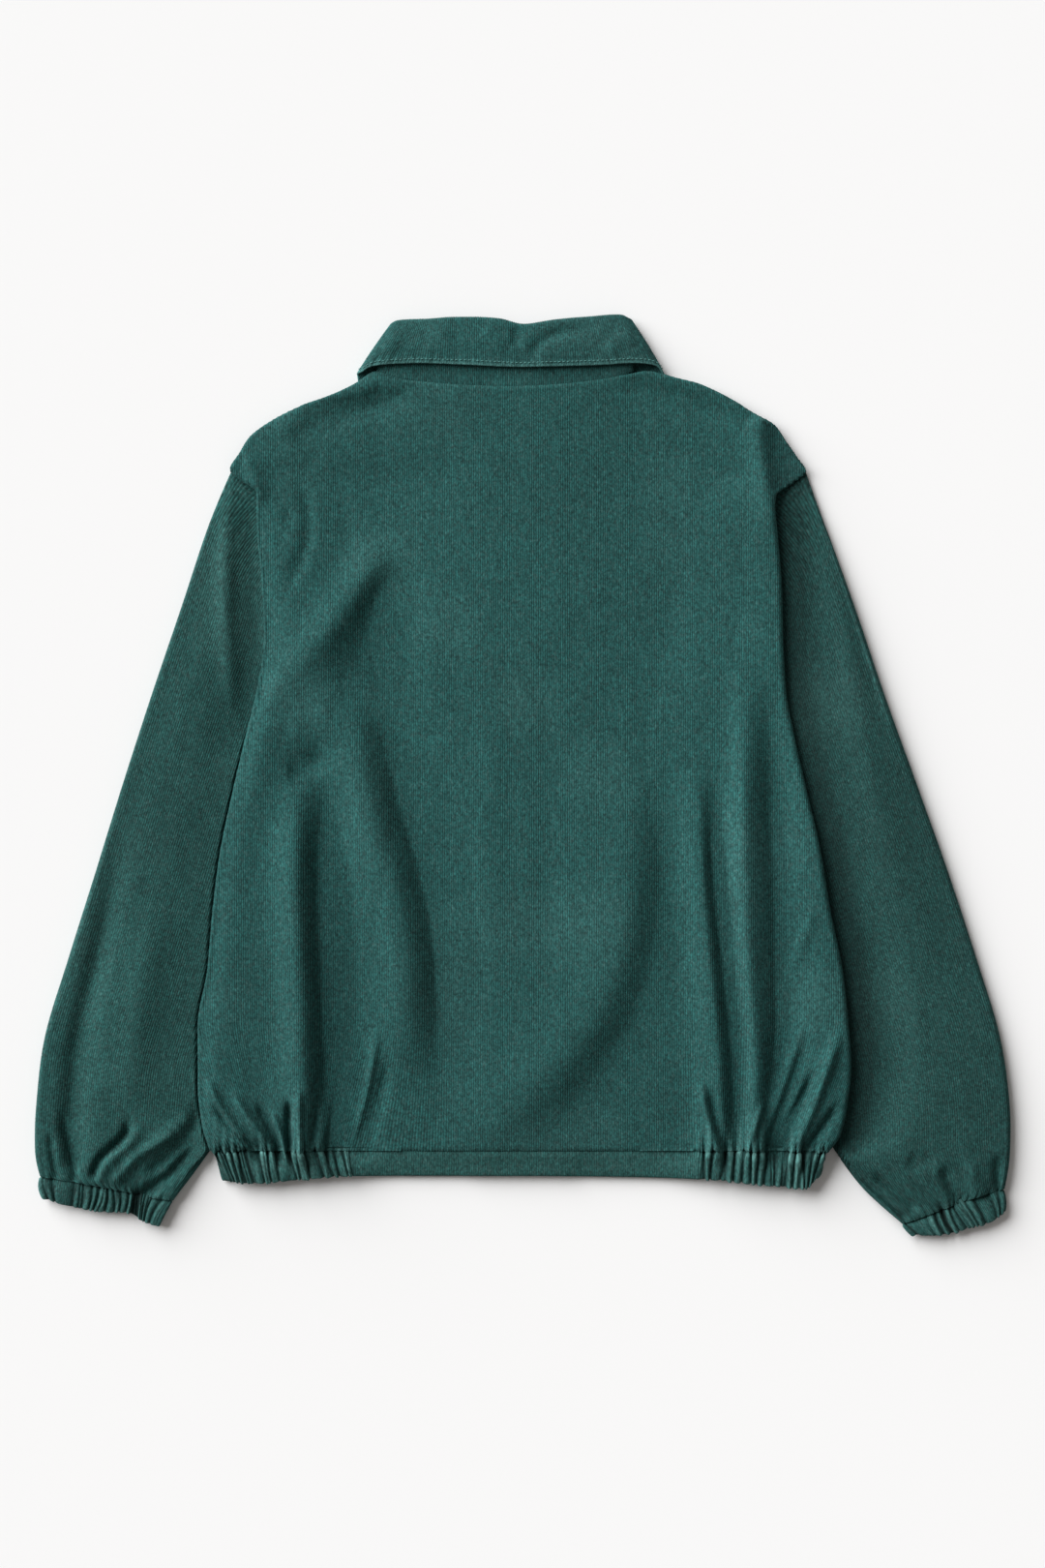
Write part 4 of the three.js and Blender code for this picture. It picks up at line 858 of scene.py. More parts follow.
def make_cuff(side):
    seam = rows_at(CUFF[side], np.array([0.0, 1.0]))
    width = math.hypot(seam["seam_x"][1] - seam["seam_x"][0], seam["seam_y"][1] - seam["seam_y"][0])
    tall = CUFF_HEIGHT
    radius = min(tall / 2, FOLD_REACH)
    arc = math.pi * tall / 2
    level = width - 2 * radius
    girth = 2 * level + 2 * arc
    count = int(girth / CUFF_STEP)
    c = np.linspace(0, girth, count, endpoint=False)
    angle1 = np.clip((c - level) / arc, 0, 1) * math.pi
    angle2 = np.clip((c - 2 * level - arc) / arc, 0, 1) * math.pi
    across = np.select(
        [c < level, c < level + arc, c < 2 * level + arc],
        [radius + c, width - radius + radius * np.sin(angle1), width - radius - (c - level - arc)],
        radius - radius * np.sin(angle2),
    )
    height = np.select(
        [c < level, c < level + arc, c < 2 * level + arc],
        [np.full(count, tall), tall / 2 + tall / 2 * np.cos(angle1), np.zeros(count)],
        tall / 2 - tall / 2 * np.cos(angle2),
    )
    on_top = ease((height - tall * 0.35) / (tall * 0.5))
    f = np.clip(across / width, 0, 1)
    table_rows = rows_at(CUFF[side], f)
    points = np.zeros((len(BAND_ROWS), count, 3))
    beyond = across - width * f
    for i, (v, depth) in enumerate(BAND_ROWS):
        sway = 0.012 * np.sin(6 * f + side) * math.sin(math.pi * v)
        points[i, :, 0] = mix(table_rows["seam_x"], table_rows["edge_x"], v) + width * sway + beyond
        points[i, :, 1] = mix(table_rows["seam_y"], table_rows["edge_y"], v)
        points[i, :, 2] = height
    normal = normals_of(np.concatenate([points, points[:, :1]], axis=1), side > 0)[:, :-1]
    for i, (v, depth) in enumerate(BAND_ROWS):
        normal[i] = normal[min(i, LAST_OUTSIDE_ROW)]
        wave = cuff_gather(side, f + 0.034 * v * wander(f, 0.07, 58))
        raised = (CUFF_SWELL * (wave - 0.62) * (0.75 + 0.25 * band_bulge(v))) * on_top
        away = raised + 1.1 * band_bulge(v) * on_top - depth
        points[i] += normal[i] * away[:, None]
        ends = 0.9 * (1 - ease(v / 0.2)) - 1.4 * ease((v - 0.5) / 0.5)
        points[i, :, 1] += ends * (wave - 0.6) * on_top
    points[..., 2] = np.maximum(points[..., 2], 0.0)
    v_mm = np.array([v * CUFF_WIDTH + depth for v, depth in BAND_ROWS])
    uv = np.stack(np.broadcast_arrays((c * 1.6)[None, :], -v_mm[:, None]), axis=2)
    # Painted highlight on the crests of the gathers, with faint random wear, and the band lighter towards
    # its free edge
    worn_and_highlit = (0.7 * (wave - 0.7) + 0.2 * wander(c, 3, 60)) * on_top
    at_edge = np.array([0.3 * ease((v - 0.8) / 0.2) for v, depth in BAND_ROWS])[:, None]
    wear_and_highlight = worn_and_highlit[None, :] + at_edge * on_top
    # Painted shade in the valleys of the gathers
    shade = 1 - VALLEY_SHADE * valley_share(wave, BAND_BRIM) * on_top
    tone_and_painted_shade = np.broadcast_to(shade, points.shape[:2])
    name = f"cuff_{SIDE_NAMES[side]}_cloth"
    return make_mesh(name, points, uv, flip=side > 0, wear_and_highlight=wear_and_highlight, closed=True, tone_and_painted_shade=tone_and_painted_shade)


def make_hem():
    centre = centre_front(HEM_SEAM)
    left, right = HEM["x"][0], HEM["x"][-1]

    def top_height(x):
        stand = HEM_MIDDLE * ease((90 - np.abs(x - centre)) / 60)
        sides = np.maximum(ease((HEM_LEFT_END + 40 - x) / 70), ease((x - HEM_RIGHT_END + 40) / 70))
        return mix(np.maximum(stand, HEM_LEVEL), HEM_SIDES, sides)

    tall = HEM_SIDES
    radius = FOLD_REACH
    arc = math.pi * math.sqrt(((tall / 2) ** 2 + radius**2) / 2)
    floor_left = centre + STAND_HALF - (left + radius)
    over = (right - radius) - (left + radius)
    floor_right = (right - radius) - (centre - STAND_HALF)
    total = floor_left + arc + over + arc + floor_right
    count = int(total / HEM_STEP)
    c = np.linspace(0, total, count)
    b1, b2, b3, b4 = floor_left, floor_left + arc, floor_left + arc + over, floor_left + 2 * arc + over
    angle1 = np.clip((c - b1) / arc, 0, 1) * math.pi
    angle2 = np.clip((c - b3) / arc, 0, 1) * math.pi
    x = np.select(
        [c < b1, c < b2, c < b3, c < b4],
        [centre + STAND_HALF - c, left + radius - radius * np.sin(angle1), left + radius + (c - b2),
         right - radius + radius * np.sin(angle2)],
        right - radius - (c - b4),
    )
    lap = HEM_LAP * ease((centre + 52 - x) / 32)
    z = np.select(
        [c < b1, c < b2, c < b3, c < b4],
        [np.zeros(count), tall / 2 - tall / 2 * np.cos(angle1), top_height(x),
         tall / 2 + tall / 2 * np.cos(angle2)],
        lap,
    )
    on_top = np.where((c > b1) & (c < b4), ease((z - 3.4) / 3), 0.0)
    zone = hem_gather(x)[1]
    seam = monotone(HEM["x"], HEM["seam"])(x)
    edge = monotone(HEM["x"], HEM["edge"])(x)
    points = np.zeros((len(BAND_ROWS), count, 3))
    edge_distance = np.minimum(x - EDGE[-1](HEM_SEAM), EDGE[1](HEM_SEAM) - x)
    at_seam = back_height(x, np.full(count, HEM_SEAM), edge_distance) - 1.5
    for i, (v, depth) in enumerate(BAND_ROWS):
        points[i, :, 0] = x
        points[i, :, 1] = mix(seam, edge, v)
        points[i, :, 2] = z + (at_seam - z) * on_top * (1 - ease((v - 0.05) / 0.6))
    normal = normals_of(points)
    wear_and_highlight_rows = np.zeros(points.shape[:2])
    tone_and_painted_shade_rows = np.ones(points.shape[:2])
    lean = np.where(x < 0, 0.26, -0.06) * zone * on_top
    drawn_in = (DRAWN_LEFT[0] * ease((left + DRAWN_LEFT[1] - x) / DRAWN_LEFT[1])
                - DRAWN_RIGHT[0] * ease((x - right + DRAWN_RIGHT[1]) / DRAWN_RIGHT[1]))
    for i, (v, depth) in enumerate(BAND_ROWS):
        normal[i] = normal[min(i, LAST_OUTSIDE_ROW)]
        bulge = band_bulge(v)
        bent = x + (3.8 * v * wander(x, 10, 57) + 2.8 * v * wander(x, 4.5, 59)) * zone
        wave, zone = hem_gather(bent)
        gathered = (HEM_SWELL * (wave - 0.62) * (0.7 + 0.3 * bulge) + 1.0 * bulge) * zone
        plain = 0.35 * bulge * (1 - zone) + 0.12 * wander(x, 14, 51) * (1 - zone)
        away = (gathered + plain) * on_top - depth
        points[i] += normal[i] * away[:, None]
        points[i, :, 0] += lean * v * HEM_WIDTH + drawn_in * (0.35 + 0.65 * v)
        ends = 0.9 * (1 - ease(v / 0.2)) - 1.9 * ease((v - 0.5) / 0.5)
        points[i, :, 1] += ends * (wave - 0.6) * zone * on_top
        # Painted highlight on the crests of the gathers and the tufts by the seam, faint random wear, and
        # the band lighter towards its free edge
        worn_and_highlit = 0.7 * (wave - 0.7) + 0.25 * wander(x, 3, 60) + 0.3 * ease((v - 0.8) / 0.2)
        tufts = 0.5 * np.exp(-(((v - 0.06) / 0.05) ** 2)) * ease((wave - 0.6) / 0.3)
        wear_and_highlight_rows[i] = (worn_and_highlit + tufts) * zone * on_top
        # Painted shade in the valleys of the gathers
        tone_and_painted_shade_rows[i] = 1 - VALLEY_SHADE * valley_share(wave, BAND_BRIM) * zone * on_top
    points[..., 2] = np.maximum(points[..., 2], 0.0)
    stretch = 1 + 0.5 * zone
    u_mm = np.cumsum(np.append(0, np.diff(c)) * stretch)
    v_mm = np.array([v * HEM_WIDTH + depth for v, depth in BAND_ROWS])
    uv = np.stack(np.broadcast_arrays(u_mm[None, :], -v_mm[:, None]), axis=2)
    return make_mesh("hem_band_cloth", points, uv, wear_and_highlight=wear_and_highlight_rows, tone_and_painted_shade=tone_and_painted_shade_rows)


# The collar. Its stitches run at these shares of the way from the neck seam to the leaf's edge
NECK_STITCHES = 0.018
EDGE_STITCHES = 0.965
COLLAR_LINES = []
# Shares where the cloth turns over the roll line, and how far the leaf swells
ROLL_START = 0.45
ROLL_END = 0.55
LEAF_SWELL = 0.9
# Where the ribs stop short of the collar's ends, and how high the part on the back lies
COLLAR_END = 0.7
ON_BACK_FROM = 6.5


def collar_middle(t, shares):
    """Points in the middle of the collar's cloth: a row for each share across, a column for each t."""
    row = rows_at(COLLAR, t)
    angle = np.radians(row["side"])
    turn = np.stack([np.cos(angle), np.zeros_like(angle), np.sin(angle)], axis=1) * ROLL_RADIUS
    seam = np.stack([row["seam_x"], row["seam_y"], row["seam_z"]], axis=1)
    roll = np.stack([row["roll_x"], row["roll_y"], row["roll_z"]], axis=1)
    edge = np.stack([row["edge_x"], row["edge_y"], row["edge_z"]], axis=1)
    up = roll - seam
    up[:, 2] = 0
    up *= ROLL_RADIUS / np.linalg.norm(up, axis=1, keepdims=True)
    stand_top = roll - turn
    leaf_top = roll + turn
    result = []
    for share in shares:
        if share < 0:
            down = seam - stand_top
            down[:, 2] = -0.4 * np.linalg.norm(down[:, :2], axis=1)
            down *= (-share / np.linalg.norm(down, axis=1))[:, None]
            result.append(seam + down)
        elif share < ROLL_START:
            result.append(mix(seam, stand_top, share / ROLL_START))
        elif share < ROLL_END:
            a = math.pi * (share - ROLL_START) / 0.1
            result.append(roll - turn * math.cos(a) + up * math.sin(a))
        else:
            f = (share - ROLL_END) / ROLL_START
            p = mix(leaf_top, edge, f)
            swell = LEAF_SWELL * math.sin(math.pi * f) ** 0.8
            result.append(p + turn / ROLL_RADIUS * swell)
    return np.stack(result)


def make_collar():
    fine = np.linspace(0, 1, 900)
    line = collar_middle(fine, [0.8])[0]
    length = np.append(0, np.cumsum(np.linalg.norm(np.diff(line, axis=0), axis=1)))
    columns, groove = rib_columns(COLLAR_END, length[-1] - COLLAR_END)
    columns = columns[1:-1]
    groove = groove[1:-1]
    t = np.interp(columns, length, fine)
    shares = np.concatenate([[-3, -1.5, 0, NECK_STITCHES], np.linspace(0.08, 0.44, 5), [0.47, 0.5, 0.53],
                             np.linspace(0.56, 0.94, 12), [EDGE_STITCHES, 0.98, 1]])
    middle = collar_middle(t, shares)
    x, y = middle[..., 0], middle[..., 1]
    on_back = (middle[..., 2] > ON_BACK_FROM)
    creased = crease_height(COLLAR_CREASES, x, y)
    uneven = 0.35 * drift(x, y, 21, 61) + 0.25 * drift(x, y, 9, 62)
    pucker = 0.34 * wander(columns, 4.6, 63)[None, :] * ease((shares - 0.7) / 0.24)[:, None]
    uneven = uneven + pucker + 0.2 * wander(columns, 2.2, 64)[None, :] * ease((shares - 0.86) / 0.1)[:, None]
    leaf = ease((shares - 0.53) / 0.1)[:, None]
    middle[..., 2] += (creased + uneven) * on_back * leaf
    normal = -normals_of(middle)
    if normal[len(shares) - 4, len(t) // 2, 2] < 0:
        normal = -normal
    half = COLLAR_CLOTH / 2 * np.ones(len(shares))[:, None]
    thickness = (half + rib_relief(columns[None, :], 0.0, groove[None, :]) - GROOVE_SINK)[..., None]
    outer = middle + normal * thickness
    inner = middle - normal * thickness
    for share in (NECK_STITCHES, EDGE_STITCHES):
        row = int(np.argmin(np.abs(shares - share)))
        COLLAR_LINES.append(list(zip(middle[row] + normal[row] * COLLAR_CLOTH / 2, normal[row])))
    tip = middle[-1] - middle[-2]
    tip /= np.linalg.norm(tip, axis=1, keepdims=True)
    rounded = [middle[-1] + COLLAR_CLOTH / 2 * (tip * math.cos(a) + normal[-1] * math.sin(a))
               for a in np.radians([60, 20, -20, -60])]
    ring = np.concatenate([outer, np.stack(rounded), inner[::-1]])
    ring[..., 2] = np.maximum(ring[..., 2], 0.0)
    v = np.concatenate([np.maximum(shares, -0.05) * 100, [101, 102, 103, 104],
                        205 - np.maximum(shares, -0.05)[::-1] * 100])
    uv = np.stack(np.broadcast_arrays(columns[None, :], v[:, None]), axis=2)
    rows, count = ring.shape[:2]
    index = np.arange(rows * count).reshape(rows, count)
    nxt = np.roll(index, -1, axis=0)
    a, b, c, d = index[:, :-1].ravel(), nxt[:, :-1].ravel(), nxt[:, 1:].ravel(), index[:, 1:].ravel()
    faces = np.concatenate([np.stack([a, b, c], 1), np.stack([a, c, d], 1)])
    ends = []
    for column, turned in ((0, False), (count - 1, True)):
        loop = index[:, column]
        half_way = rows // 2
        for k in range(half_way - 1):
            quad = [loop[k], loop[k + 1], loop[rows - 2 - k], loop[rows - 1 - k]]
            pair = [[quad[0], quad[2], quad[1]], [quad[0], quad[3], quad[2]]]
            ends.extend([p[::-1] for p in pair] if turned else pair)
    faces = np.concatenate([faces, np.array(ends)])
    points = ring.reshape(-1, 3)
    a, b, c = (points[faces[:, k]] for k in range(3))
    volume = np.einsum("ij,ij->i", a, np.cross(b, c)).sum()
    if volume < 0:
        faces = faces[:, ::-1]
    # The leaf is lighter along its edge and round its end, with faint random wear
    leaf_edge_lighter = 0.25 * ease((shares - 0.93) / 0.04) + 0.5 * (shares > 0.99)
    near_edge = np.concatenate([leaf_edge_lighter, [1, 1, 1, 0.6], 0 * shares])
    wear_and_highlight = 0.85 * near_edge[:, None] + 0.1 * drift(ring[..., 0], ring[..., 1], 40, 5)
    # Painted shade: the collar is painted darker towards its right end, away from the light
    tone_and_painted_shade = 0.98 - 0.13 * ease((ring[..., 0] + 20) / 60)
    return mesh_object("collar_cloth", points, uv, faces, wear_and_highlight, tone_and_painted_shade)


# Buttons: discs with a rim and a dish, outer face down, with four holes through the dish
BUTTON_SIDES = 40
HOLE_SIDES = 12
HOLE_RADIUS = 0.95
HOLE_PLACE = 1.7
DISH = 0.75
BUTTON_BACK = 1.9
# Radius and height of each ring, from the back round the rim to the dish
BUTTON_PROFILE = [(6.2, BUTTON_BACK), (7.0, 1.6), (7.4, 1.0), (7.2, 0.4), (6.6, 0.1), (5.9, 0.15),
                  (5.2, 0.6), (4.6, DISH)]


def make_button(number):
    y = BUTTON_FIRST - (number - 1) * BUTTON_PITCH
    centre = np.array([centre_front(y), y, 0.0])
    shape = bmesh.new()

    def circle(x0, y0, radius, z, sides):
        angles = 2 * math.pi * np.arange(sides) / sides
        return [shape.verts.new(centre + [x0 + radius * math.cos(a), y0 + radius * math.sin(a), z])
                for a in angles]

    def join(first, second):
        count = len(first)
        for k in range(count):
            n = (k + 1) % count
            shape.faces.new([first[k], first[n], second[n], second[k]])

    def edges_of(ring):
        found = []
        for k in range(len(ring)):
            pair = (ring[k], ring[(k + 1) % len(ring)])
            found.append(shape.edges.get(pair) or shape.edges.new(pair))
        return found

    rings = [circle(0, 0, radius, z, BUTTON_SIDES) for radius, z in BUTTON_PROFILE]
    for first, second in zip(rings[:-1], rings[1:]):
        join(first, second)
    back_edges = edges_of(rings[0])
    dish_edges = edges_of(rings[-1])
    for sx, sy in ((1, 1), (1, -1), (-1, 1), (-1, -1)):
        place = (sx * HOLE_PLACE, sy * HOLE_PLACE)
        top = circle(*place, HOLE_RADIUS, BUTTON_BACK, HOLE_SIDES)
        bottom = circle(*place, HOLE_RADIUS, DISH, HOLE_SIDES)
        join(bottom, top)
        back_edges += edges_of(top)
        dish_edges += edges_of(bottom)
    for edges in (back_edges, dish_edges):
        bmesh.ops.triangle_fill(shape, edges=edges, use_beauty=True)
    bmesh.ops.recalc_face_normals(shape, faces=shape.faces)
    bmesh.ops.triangulate(shape, faces=shape.faces)
    shape.verts.index_update()
    points = np.array([v.co[:] for v in shape.verts])
    faces = np.array([[v.index for v in face.verts] for face in shape.faces])
    shape.free()
    return mesh_object(f"button_{number}_disc", points, points[:, :2].copy(), faces)


# Stitching
STITCH_LENGTH = 2.5
STITCH_GAP = 1.0
STITCH_THICK = 0.6
STITCH_RISE = 0.2
STITCH_SIDES = 6
# Rings of a stitch: share of its length, size, and how far it stands up
STITCH_RINGS = [(0.0, 0.25, -0.5), (0.18, 0.9, 0.3), (0.5, 1.0, 0.6), (0.82, 0.9, 0.3), (1.0, 0.25, -0.5)]


def stitch_row(name, path):
    """A row of short, rounded stitches along a path of points with normals."""
    points = np.array([p for p, _ in path])
    normals = np.array([n for _, n in path])
    run = np.append(0, np.cumsum(np.linalg.norm(np.diff(points, axis=0), axis=1)))
    starts = np.arange(0.5, run[-1] - STITCH_LENGTH, STITCH_LENGTH + STITCH_GAP)
    sides = STITCH_SIDES
    turn = np.linspace(0, 2 * math.pi, sides, endpoint=False)
    all_points = []
    all_faces = []
    for start in starts:
        offset = sum(len(block) for block in all_points)
        block = []
        for f, size, lift in STITCH_RINGS:
            s = start + f * STITCH_LENGTH
            p = np.array([np.interp(s, run, points[:, k]) for k in range(3)])
            n = np.array([np.interp(s, run, normals[:, k]) for k in range(3)])
            n /= np.linalg.norm(n)
            ahead = np.array([np.interp(s + 0.3, run, points[:, k]) for k in range(3)]) - p
            ahead /= max(np.linalg.norm(ahead), 1e-9)
            across = np.cross(ahead, n)
            centre = p + n * (STITCH_RISE + lift * STITCH_THICK)
            for a in turn:
                block.append(centre + (across * math.cos(a) + n * math.sin(a)) * STITCH_THICK / 2 * size)
        all_points.append(block)
        for r in range(len(STITCH_RINGS) - 1):
            for k in range(sides):
                a = offset + r * sides + k
                b = offset + r * sides + (k + 1) % sides
                all_faces.append([a, b, b + sides])
                all_faces.append([a, b + sides, a + sides])
        for k in range(1, sides - 1):
            all_faces.append([offset, offset + k + 1, offset + k])
            last = offset + (len(STITCH_RINGS) - 1) * sides
            all_faces.append([last, last + k, last + k + 1])
    flat = np.array([p for block in all_points for p in block])
    faces = np.array(all_faces)
    return mesh_object(name, flat, flat[:, :2].copy(), faces)


# Materials
def new_material(name):
    """A material with one principled shader, and its nodes and links."""
    material = bpy.data.materials.new(name)
    material.use_nodes = True
    nodes = material.node_tree.nodes
    links = material.node_tree.links
    nodes.clear()
    out = nodes.new("ShaderNodeOutputMaterial")
    shader = nodes.new("ShaderNodeBsdfPrincipled")
    links.new(shader.outputs[0], out.inputs[0])
    return material, nodes, links, shader


def mix_colours(nodes, links, factor, first, second):
    node = nodes.new("ShaderNodeMix")
    node.data_type = "RGBA"
    sockets = [s for s in node.inputs if s.enabled]
    for socket, value in zip(sockets, (factor, first, second)):
        if isinstance(value, (int, float)):
            socket.default_value = value
        elif isinstance(value, tuple):
            socket.default_value = (*value, 1.0)
        else:
            links.new(value, socket)
    return next(s for s in node.outputs if s.enabled)


def linear(red, green, blue):
    """A display colour from 0 to 255 as linear light."""
    def one(value):
        c = value / 255
        return c / 12.92 if c <= 0.04045 else ((c + 0.055) / 1.055) ** 2.4
    return (one(red), one(green), one(blue))


# How dark and how light each kind of unevenness makes the pile, and how much of it is faded
STREAKS = (0.91, 1.09)
FINE_STREAKS = (0.76, 1.24)
FLECKS = (0.5, 1.5)
CLOUDS = (0.94, 1.06)
FADED = (0.0, 0.3)
FADED_COLOUR = (74, 92, 90)
SHEEN = 0.1
SHEEN_COLOUR = (150, 180, 176)
WEFT_PITCH = 0.9


def corduroy(name, crest, groove, worn_and_highlit):
    """Ribbed cotton pile: ribs from the cloth's map, streaked along their length, lighter where worn and
    with painted highlights on crests, and darkened by painted shade.
    """
    material, nodes, links, shader = new_material(name)

    def maths(operation, *inputs, clamp=False):
        node = nodes.new("ShaderNodeMath")
        node.operation = operation
        node.use_clamp = clamp
        for socket, value in zip(node.inputs, inputs):
            if isinstance(value, (int, float)):
                socket.default_value = value
            else:
                links.new(value, socket)
        return node.outputs[0]

    uv = nodes.new("ShaderNodeUVMap")
    uv.uv_map = "UVMap"
    split = nodes.new("ShaderNodeSeparateXYZ")
    links.new(uv.outputs[0], split.inputs[0])
    across, along = split.outputs[0], split.outputs[1]
    rib = maths("DIVIDE", across, RIB)
    rib_share = maths("FRACT", rib)
    rib_index = maths("FLOOR", rib)
    crest_wave = maths("SINE", maths("MULTIPLY", rib_share, math.pi))
    crest_share = maths("POWER", crest_wave, 0.6)

    def noise(x_scale, y_scale, source_x, detail, seed):
        place = nodes.new("ShaderNodeCombineXYZ")
        links.new(maths("MULTIPLY", source_x, x_scale), place.inputs[0])
        links.new(maths("MULTIPLY", along, y_scale), place.inputs[1])
        place.inputs[2].default_value = seed
        texture = nodes.new("ShaderNodeTexNoise")
        texture.inputs["Scale"].default_value = 1.0
        texture.inputs["Detail"].default_value = detail
        links.new(place.outputs[0], texture.inputs["Vector"])
        return texture.outputs["Fac"]

    def spread(source, low, high, start=0.3, end=0.7):
        node = nodes.new("ShaderNodeMapRange")
        for k, value in enumerate((start, end, low, high)):
            node.inputs[k + 1].default_value = value
        links.new(source, node.inputs[0])
        return node.outputs[0]

    streak = spread(noise(0.73, 0.05, rib_index, 2.0, 3.1), *STREAKS)
    fine_streak = spread(noise(3.17, 0.28, rib_index, 2.0, 7.7), *FINE_STREAKS)
    fleck = spread(noise(1.0, 0.46, across, 3.0, 1.3), *FLECKS)
    cloud = spread(noise(0.011, 0.009, across, 3.0, 5.2), *CLOUDS)
    fade = spread(noise(0.62, 0.34, across, 2.0, 4.4), *FADED, start=0.5, end=0.75)
    # Painted shade: this attribute darkens the tone in valleys, beside the body and on parts turned from the
    # light
    tone_and_painted_shade = nodes.new("ShaderNodeAttribute")
    tone_and_painted_shade.attribute_name = "tone_and_painted_shade"
    tone = streak
    for share in (fine_streak, fleck, cloud, tone_and_painted_shade.outputs["Fac"]):
        tone = maths("MULTIPLY", tone, share)
    # Painted highlight and wear: this attribute mixes in the lighter colour
    wear_and_highlight = nodes.new("ShaderNodeAttribute")
    wear_and_highlight.attribute_name = "wear_and_highlight"
    worn_and_highlit_share = maths("MULTIPLY", wear_and_highlight.outputs["Fac"], 1.2, clamp=True)
    colour = mix_colours(nodes, links, crest_share, groove, crest)
    colour = mix_colours(nodes, links, worn_and_highlit_share, colour, worn_and_highlit)
    colour = mix_colours(nodes, links, fade, colour, linear(*FADED_COLOUR))
    scale = nodes.new("ShaderNodeVectorMath")
    scale.operation = "SCALE"
    links.new(colour, scale.inputs[0])
    links.new(tone, scale.inputs["Scale"])
    links.new(scale.outputs[0], shader.inputs["Base Color"])
    shader.inputs["Roughness"].default_value = 0.92
    shader.inputs["Specular IOR Level"].default_value = 0.25
    shader.inputs["Sheen Weight"].default_value = SHEEN
    shader.inputs["Sheen Roughness"].default_value = 0.45
    shader.inputs["Sheen Tint"].default_value = (*linear(*SHEEN_COLOUR), 1.0)
    pile = noise(5.2, 2.6, across, 4.0, 9.4)
    weave = maths("SINE", maths("MULTIPLY", along, 2 * math.pi / WEFT_PITCH))
    height = maths("ADD", pile, maths("MULTIPLY", weave, 0.12))
    bump = nodes.new("ShaderNodeBump")
    bump.inputs["Strength"].default_value = 0.45
    bump.inputs["Distance"].default_value = 0.00025
    links.new(height, bump.inputs["Height"])
    links.new(bump.outputs[0], shader.inputs["Normal"])
    return material


def plain(name, colour, roughness, speckle):
    """Thread or moulded resin with a fine speckle."""
    material, nodes, links, shader = new_material(name)
    texture = nodes.new("ShaderNodeTexNoise")
    texture.inputs["Scale"].default_value = speckle
    texture.inputs["Detail"].default_value = 3.0
    place = nodes.new("ShaderNodeTexCoord")
    links.new(place.outputs["Object"], texture.inputs["Vector"])
    dark = tuple(c * 0.75 for c in colour)
    light = tuple(c * 1.25 for c in colour)
    links.new(mix_colours(nodes, links, texture.outputs["Fac"], dark, light), shader.inputs["Base Color"])
    shader.inputs["Roughness"].default_value = roughness
    return material


def finish_piece(piece, material, slot, *nodes):
    piece.data.materials.append(material)
    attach(piece, "root")
    if nodes:
        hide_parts(*nodes)
    return piece


BODY_CLOTH = corduroy("corduroy", linear(35, 86, 84), linear(14, 45, 43), linear(76, 125, 122))
SLEEVE_CLOTH = corduroy("sleeve_corduroy", linear(35, 82, 79), linear(14, 43, 41), linear(76, 121, 117))
BAND_CLOTH = corduroy("band_corduroy", linear(37, 82, 79), linear(15, 41, 39), linear(80, 126, 122))
RESIN = plain("button_resin", linear(40, 62, 60), 0.45, 900)
THREAD = plain("thread", linear(82, 136, 132), 0.75, 4000)

back = finish_piece(make_back(), BODY_CLOTH, "corduroy", "back")
front_left = finish_piece(make_front(-1), BODY_CLOTH, "corduroy", "front_left")
front_right = finish_piece(make_front(1), BODY_CLOTH, "corduroy", "front_right")
sleeve_left = finish_piece(make_sleeve(-1), SLEEVE_CLOTH, "sleeve_corduroy", "sleeve_left")
sleeve_right = finish_piece(make_sleeve(1), SLEEVE_CLOTH, "sleeve_corduroy", "sleeve_right")
cuff_left = finish_piece(make_cuff(-1), BAND_CLOTH, "band_corduroy", "cuff_left")
cuff_right = finish_piece(make_cuff(1), BAND_CLOTH, "band_corduroy", "cuff_right")
hem_band = finish_piece(make_hem(), BAND_CLOTH, "band_corduroy", "hem_band")
collar = finish_piece(make_collar(), BODY_CLOTH, "corduroy", "collar")
for number in range(1, BUTTONS + 1):
    finish_piece(make_button(number), RESIN, "button", f"button_{number}")
stitches = [finish_piece(stitch_row(f"collar_{place}_stitches", line), THREAD, "corduroy")
            for place, line in zip(("neck", "edge"), COLLAR_LINES)]

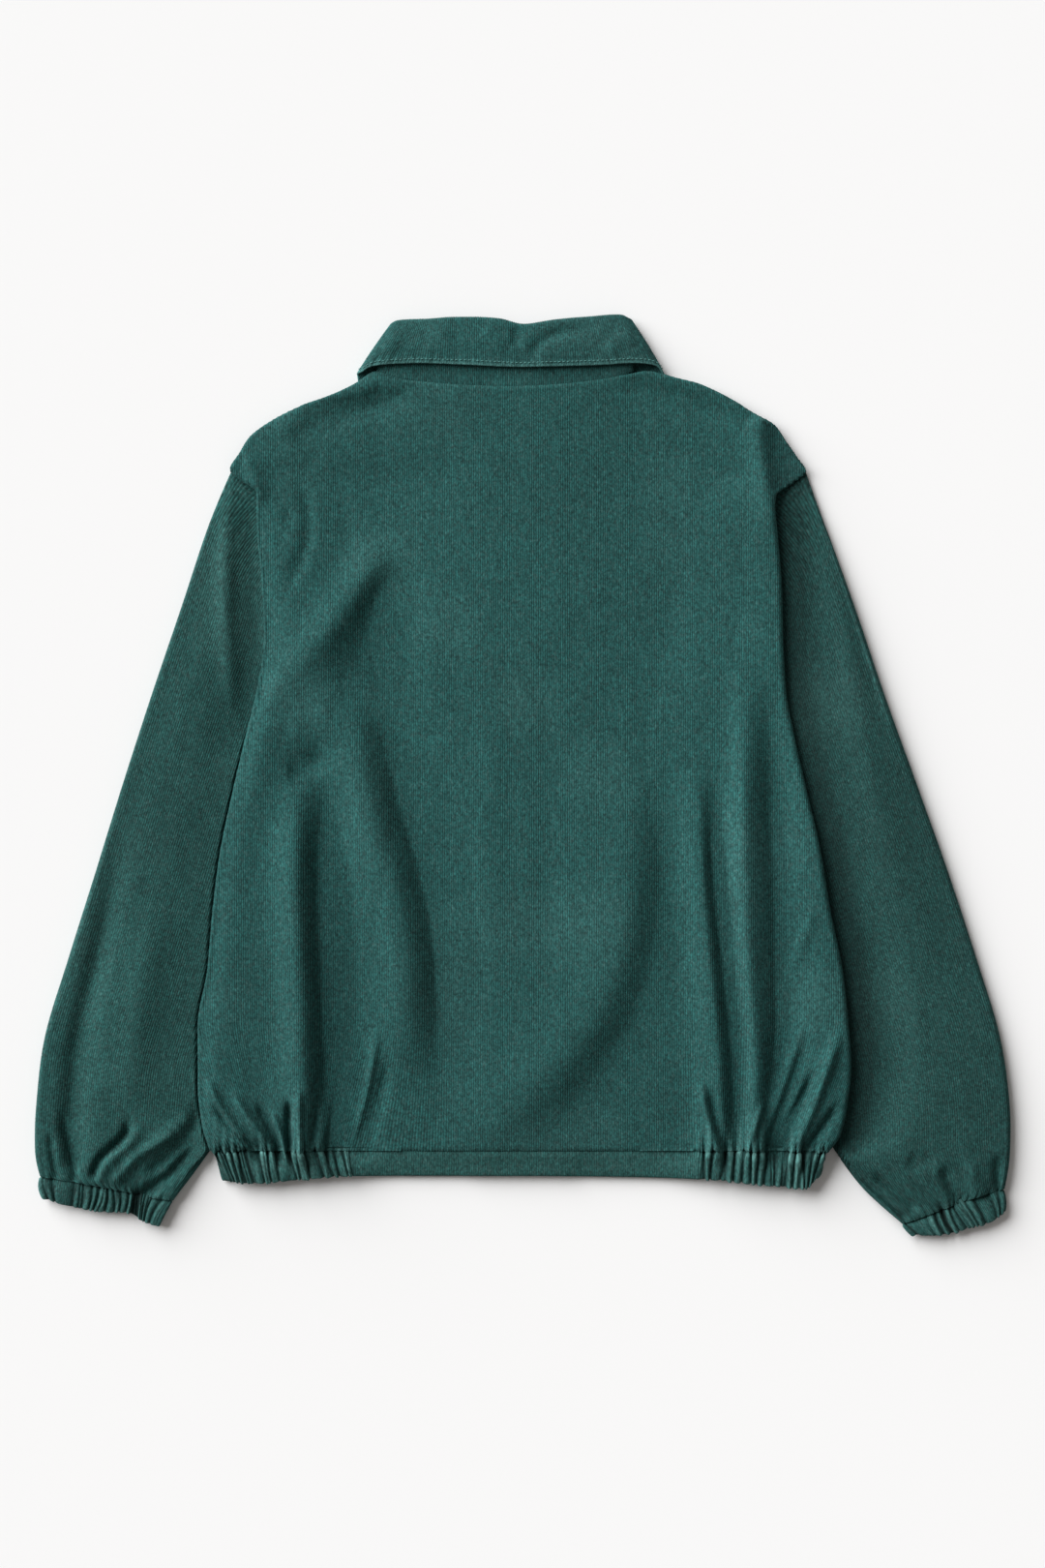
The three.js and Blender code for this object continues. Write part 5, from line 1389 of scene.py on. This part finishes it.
# Floor, light and camera
KEY_STRENGTH = 5.9
KEY_AZIMUTH = math.radians(142)
KEY_HEIGHT = math.radians(26.5)
KEY_SOFTNESS = math.radians(58)
FILL_STRENGTH = 0.22
FILL_COLOUR = (1, 0.94, 0.89, 1)
FLOOR_COLOUR = (0.893, 0.9, 0.906, 1)
# In metres: half the floor, how far it lies below the cloth, and the camera's place
FLOOR_HALF = 4.0
FLOOR_DROP = 0.0006
CAMERA_PLACE = (-0.0004, -0.0068, 3.0)
SENSOR_WIDTH = 36
PHOTO_MM_PER_PIXEL = 0.787
PHOTO_SIZE = (1080, 1620)


def make_stage():
    mesh = bpy.data.meshes.new("floor")
    corners = [(-1, -1), (1, -1), (1, 1), (-1, 1)]
    mesh.from_pydata([(x * FLOOR_HALF, y * FLOOR_HALF, -FLOOR_DROP) for x, y in corners], [], [(0, 1, 2, 3)])
    material, _, _, shader = new_material("floor_paper")
    shader.inputs["Base Color"].default_value = FLOOR_COLOUR
    shader.inputs["Roughness"].default_value = 0.9
    mesh.materials.append(material)
    placed("floor", mesh)


def make_lights():
    light = bpy.data.lights.new("key", "SUN")
    light.angle = KEY_SOFTNESS
    light.energy = KEY_STRENGTH
    key = placed("key", light)
    towards = Vector((math.cos(KEY_AZIMUTH), math.sin(KEY_AZIMUTH), math.tan(KEY_HEIGHT)))
    key.rotation_euler = towards.to_track_quat("Z", "Y").to_euler()
    world = bpy.data.worlds.new("studio")
    world.use_nodes = True
    background = world.node_tree.nodes["Background"]
    background.inputs[0].default_value = FILL_COLOUR
    background.inputs[1].default_value = FILL_STRENGTH
    bpy.context.scene.world = world
    view = bpy.context.scene.view_settings
    view.view_transform = "Standard"
    view.look = "None"


def make_camera():
    tall = PHOTO_SIZE[1] * PHOTO_MM_PER_PIXEL * MM
    data = bpy.data.cameras.new("camera")
    data.sensor_width = SENSOR_WIDTH
    data.lens = SENSOR_WIDTH * CAMERA_PLACE[2] / tall
    camera = placed("camera", data)
    camera.location = CAMERA_PLACE
    bpy.context.scene.camera = camera


make_stage()
make_lights()
make_camera()
